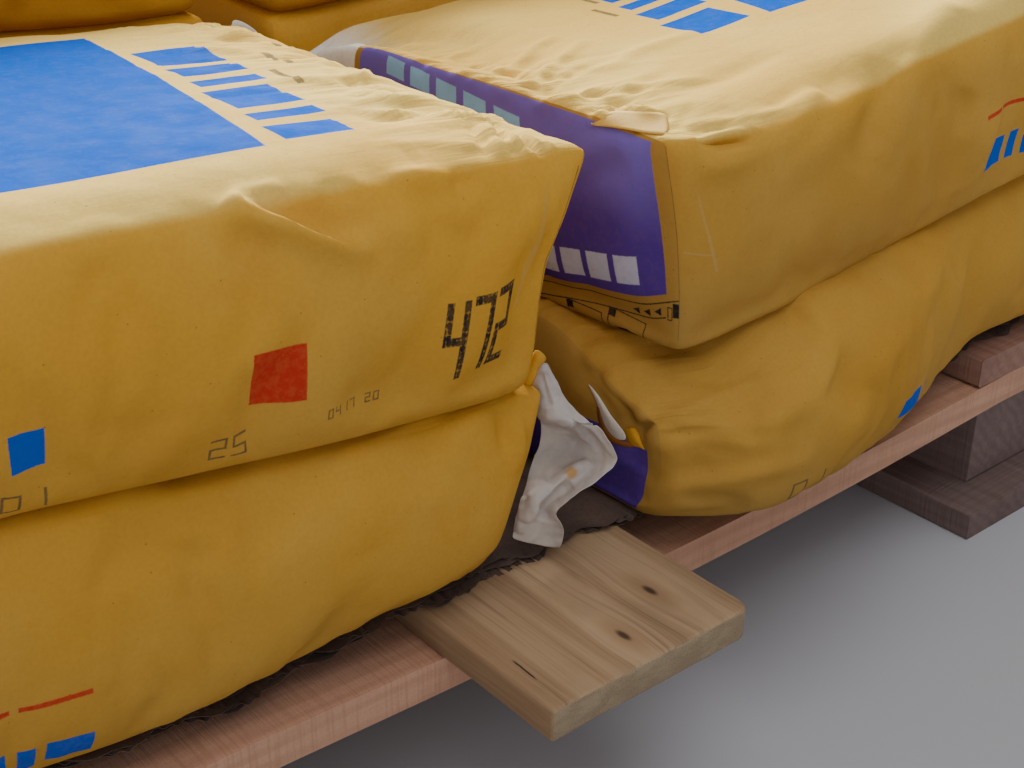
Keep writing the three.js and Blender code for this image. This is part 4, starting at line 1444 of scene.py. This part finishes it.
# Corrugated liner: two layers of flutes between three flat sheets
def add_liner():
    low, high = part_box("cardboard_liner")
    tree = surface_of(nodes["cardboard_liner"])
    middle = (low.y + high.y) / 2
    stations = np.linspace(low.x + 0.001, high.x - 0.001, LINER_STATIONS)
    foot = np.array([shine_through(tree, (x, middle, 0), (0, 0, 1)).z for x in stations])
    lie = (low, high, stations, foot)
    sheets = []
    for layer, height in enumerate((LINER_LIFT, LINER_THICK / 2, LINER_THICK)):
        sheets.append(liner_sheet(f"liner_sheet_{layer}", lie, LINER_FLAT_COLUMNS, height, 0.0))
    wave = (LINER_THICK / 2 - LINER_PLIES) / 2
    for layer, height in enumerate((LINER_THICK / 4, 3 * LINER_THICK / 4)):
        columns = LINER_FLUTES * FLUTE_COLUMNS
        sheets.append(liner_sheet(f"liner_flutes_{layer}", lie, columns, height, wave))
    make_active(sheets[0])
    for sheet in sheets:
        sheet.select_set(True)
    bpy.ops.object.join()
    liner = bpy.context.object
    liner.name = "liner"
    bpy.ops.object.shade_smooth_by_angle(angle=math.radians(50))
    liner.data.materials.clear()
    liner.data.materials.append(liner_board())
    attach(liner, "root")
    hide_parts("cardboard_liner")


def liner_sheet(name, lie, columns, height, wave):
    """One ply of the liner, at a height over its underside, with a torn front edge."""
    low, high, stations, foot = lie
    deselect_all()
    bpy.ops.mesh.primitive_grid_add(x_subdivisions=columns, y_subdivisions=LINER_ROWS, size=1)
    sheet = bpy.context.object
    sheet.name = name
    points = points_of(sheet)
    x = low.x + (points[:, 0] + 0.5) * (high.x - low.x)
    back = points[:, 1] + 0.5
    torn = sum(size * np.sin(x * rate + height * shift + start) for size, rate, shift, start in LINER_TORN)
    depth = high.y - low.y - LINER_EDGE - 0.002
    y = low.y + LINER_EDGE + torn * (1 - back) + back ** 1.6 * depth
    z = np.interp(x, stations, foot) + height
    z += wave * np.sin(2 * math.pi * LINER_FLUTES * (points[:, 0] + 0.5))
    reach, fray, rate, shift = LINER_FRAY
    z += np.exp(-((y - low.y) / reach) ** 2) * fray * np.sin(x * rate + height * shift)
    set_points(sheet, np.stack([x, y, z], 1))
    apply_modifier(sheet, "SOLIDIFY", thickness=LINER_PLY, offset=0)
    return sheet


def liner_board():
    recipe = Recipe("corrugated_board", srgb(108, 90, 80), roughness=0.95, specular=0.1)
    fibre = recipe.noise(500, 4, 0.7)
    recipe.lay(recipe.ramp(recipe.noise(26, 4, 0.6), 0.3, 0.7), srgb(84, 70, 64))
    recipe.lay(recipe.ramp(fibre, 0.4, 0.8, 0, 0.4), srgb(60, 50, 48))
    return recipe.finish(recipe.bump(fibre, 0.0004, 0.6))


# Sheets of paper placed on sight lines of the photograph
def sight_point(pixel, plane_point, plane_normal, proud):
    """Where a sight line meets an upright plane, moved towards the camera by proud."""
    ray = sight_line(pixel)
    normal = Vector(plane_normal)
    reach = (Vector(plane_point) - CAMERA_PLACE).dot(normal) / ray.dot(normal)
    return CAMERA_PLACE + ray * (reach - proud)


def loft_paper(name, rows, place, smooth):
    """A sheet lofted through rows of (x, y, lift), which place turns into points."""
    across, down = len(rows[0]), len(rows)
    deselect_all()
    bpy.ops.mesh.primitive_grid_add(x_subdivisions=across - 1, y_subdivisions=down - 1, size=1)
    sheet = bpy.context.object
    sheet.name = name
    points = points_of(sheet)
    column = np.round((points[:, 0] + 0.5) * (across - 1)).astype(int)
    row = np.round((0.5 - points[:, 1]) * (down - 1)).astype(int)
    for i in range(len(points)):
        x, y, lift = rows[row[i]][column[i]]
        points[i] = place((x, y), lift * MILLIMETRE)
    set_points(sheet, points)
    if smooth > 2:
        apply_modifier(sheet, "SUBSURF", subdivision_type="SIMPLE", levels=1, render_levels=1)
        smooth -= 1
    apply_modifier(sheet, "SUBSURF", levels=smooth, render_levels=smooth)
    make_active(sheet)
    bpy.ops.object.shade_smooth()
    return sheet


def add_torn_paper():
    def place(pixel, proud):
        return sight_point(pixel, PAPER_PLANE_POINT, PAPER_PLANE_NORMAL, proud)

    sheet = loft_paper("torn_ply", PAPER_ROWS, place, 4)
    sheet.data.materials.append(white_paper())
    tree = surface_of(sheet)
    for pixels, height, width, kind in PLY_CREASES:
        press_crease(sheet, tree, pixels, height, width, kind, PLY_TAPER)
    ruffle(sheet, "ply_crumple", 0.014, 0.0022)
    apply_modifier(sheet, "SOLIDIFY", thickness=PLY_THICK, offset=0)
    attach(sheet, "root")
    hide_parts("torn_paper")


def white_paper():
    """White kraft paper with one small yellow spot."""
    recipe = Recipe("white_ply", srgb(206, 194, 182), roughness=0.72, specular=0.25)
    fibre = recipe.noise(700, 3, 0.7)
    recipe.lay(recipe.ramp(recipe.noise(45, 4, 0.6), 0.35, 0.7), srgb(180, 170, 166))
    recipe.lay(recipe.ramp(fibre, 0.5, 0.8, 0, 0.2), srgb(176, 168, 162))
    spot = recipe.vector("DISTANCE", recipe.coords, PAPER_SPOT)
    recipe.lay(recipe.ramp(spot, 0.002, 0.0045, 0.75, 0), srgb(196, 140, 40))
    folds = recipe.bump(recipe.ramp(recipe.voronoi(95, "DISTANCE_TO_EDGE"), 0, 0.3), 0.0006, 0.6)
    return recipe.finish(recipe.bump(fibre, 0.0001, 0.5, folds))


# Studio: each light's place, what it is aimed at, its size in metres and its power in watts
FLOOR_SIZE = 30
SKY_COLOUR = (0.86, 0.9, 1.0, 1)
SKY_STRENGTH = 0.34
LIGHTS = {
    "window": ((1.5, 2.9, 2.1), (0, -0.1, 0.3), 2.4, 680),
    "front_fill": ((-1.6, -2.2, 1.4), (0, -0.2, 0.2), 2.5, 12),
    "overhead": ((-0.1, -0.9, 2.4), (0, -0.3, 0.2), 1.8, 20),
}


def add_studio():
    deselect_all()
    bpy.ops.mesh.primitive_plane_add(size=FLOOR_SIZE, location=(0, 0, 0))
    floor = bpy.context.object
    floor.name = "floor"
    pale = Recipe("pale_floor", srgb(196, 196, 198), roughness=0.85, specular=0.2)
    pale.lay(pale.noise(3, 5), srgb(184, 184, 188))
    floor.data.materials.append(pale.finish())
    world = bpy.data.worlds.new("studio")
    world.use_nodes = True
    background = world.node_tree.nodes["Background"]
    background.inputs["Color"].default_value = SKY_COLOUR
    background.inputs["Strength"].default_value = SKY_STRENGTH
    bpy.context.scene.world = world
    for name, (place, target, size, power) in LIGHTS.items():
        data = bpy.data.lights.new(name, "AREA")
        data.size = size
        data.energy = power
        light = bpy.data.objects.new(name, data)
        light.location = place
        light.rotation_euler = (Vector(target) - Vector(place)).to_track_quat("-Z", "Y").to_euler()
        bpy.context.scene.collection.objects.link(light)


add_camera()
add_pallet_finishes()
add_plank()
add_liner()
add_sacks()
add_torn_paper()
add_studio()
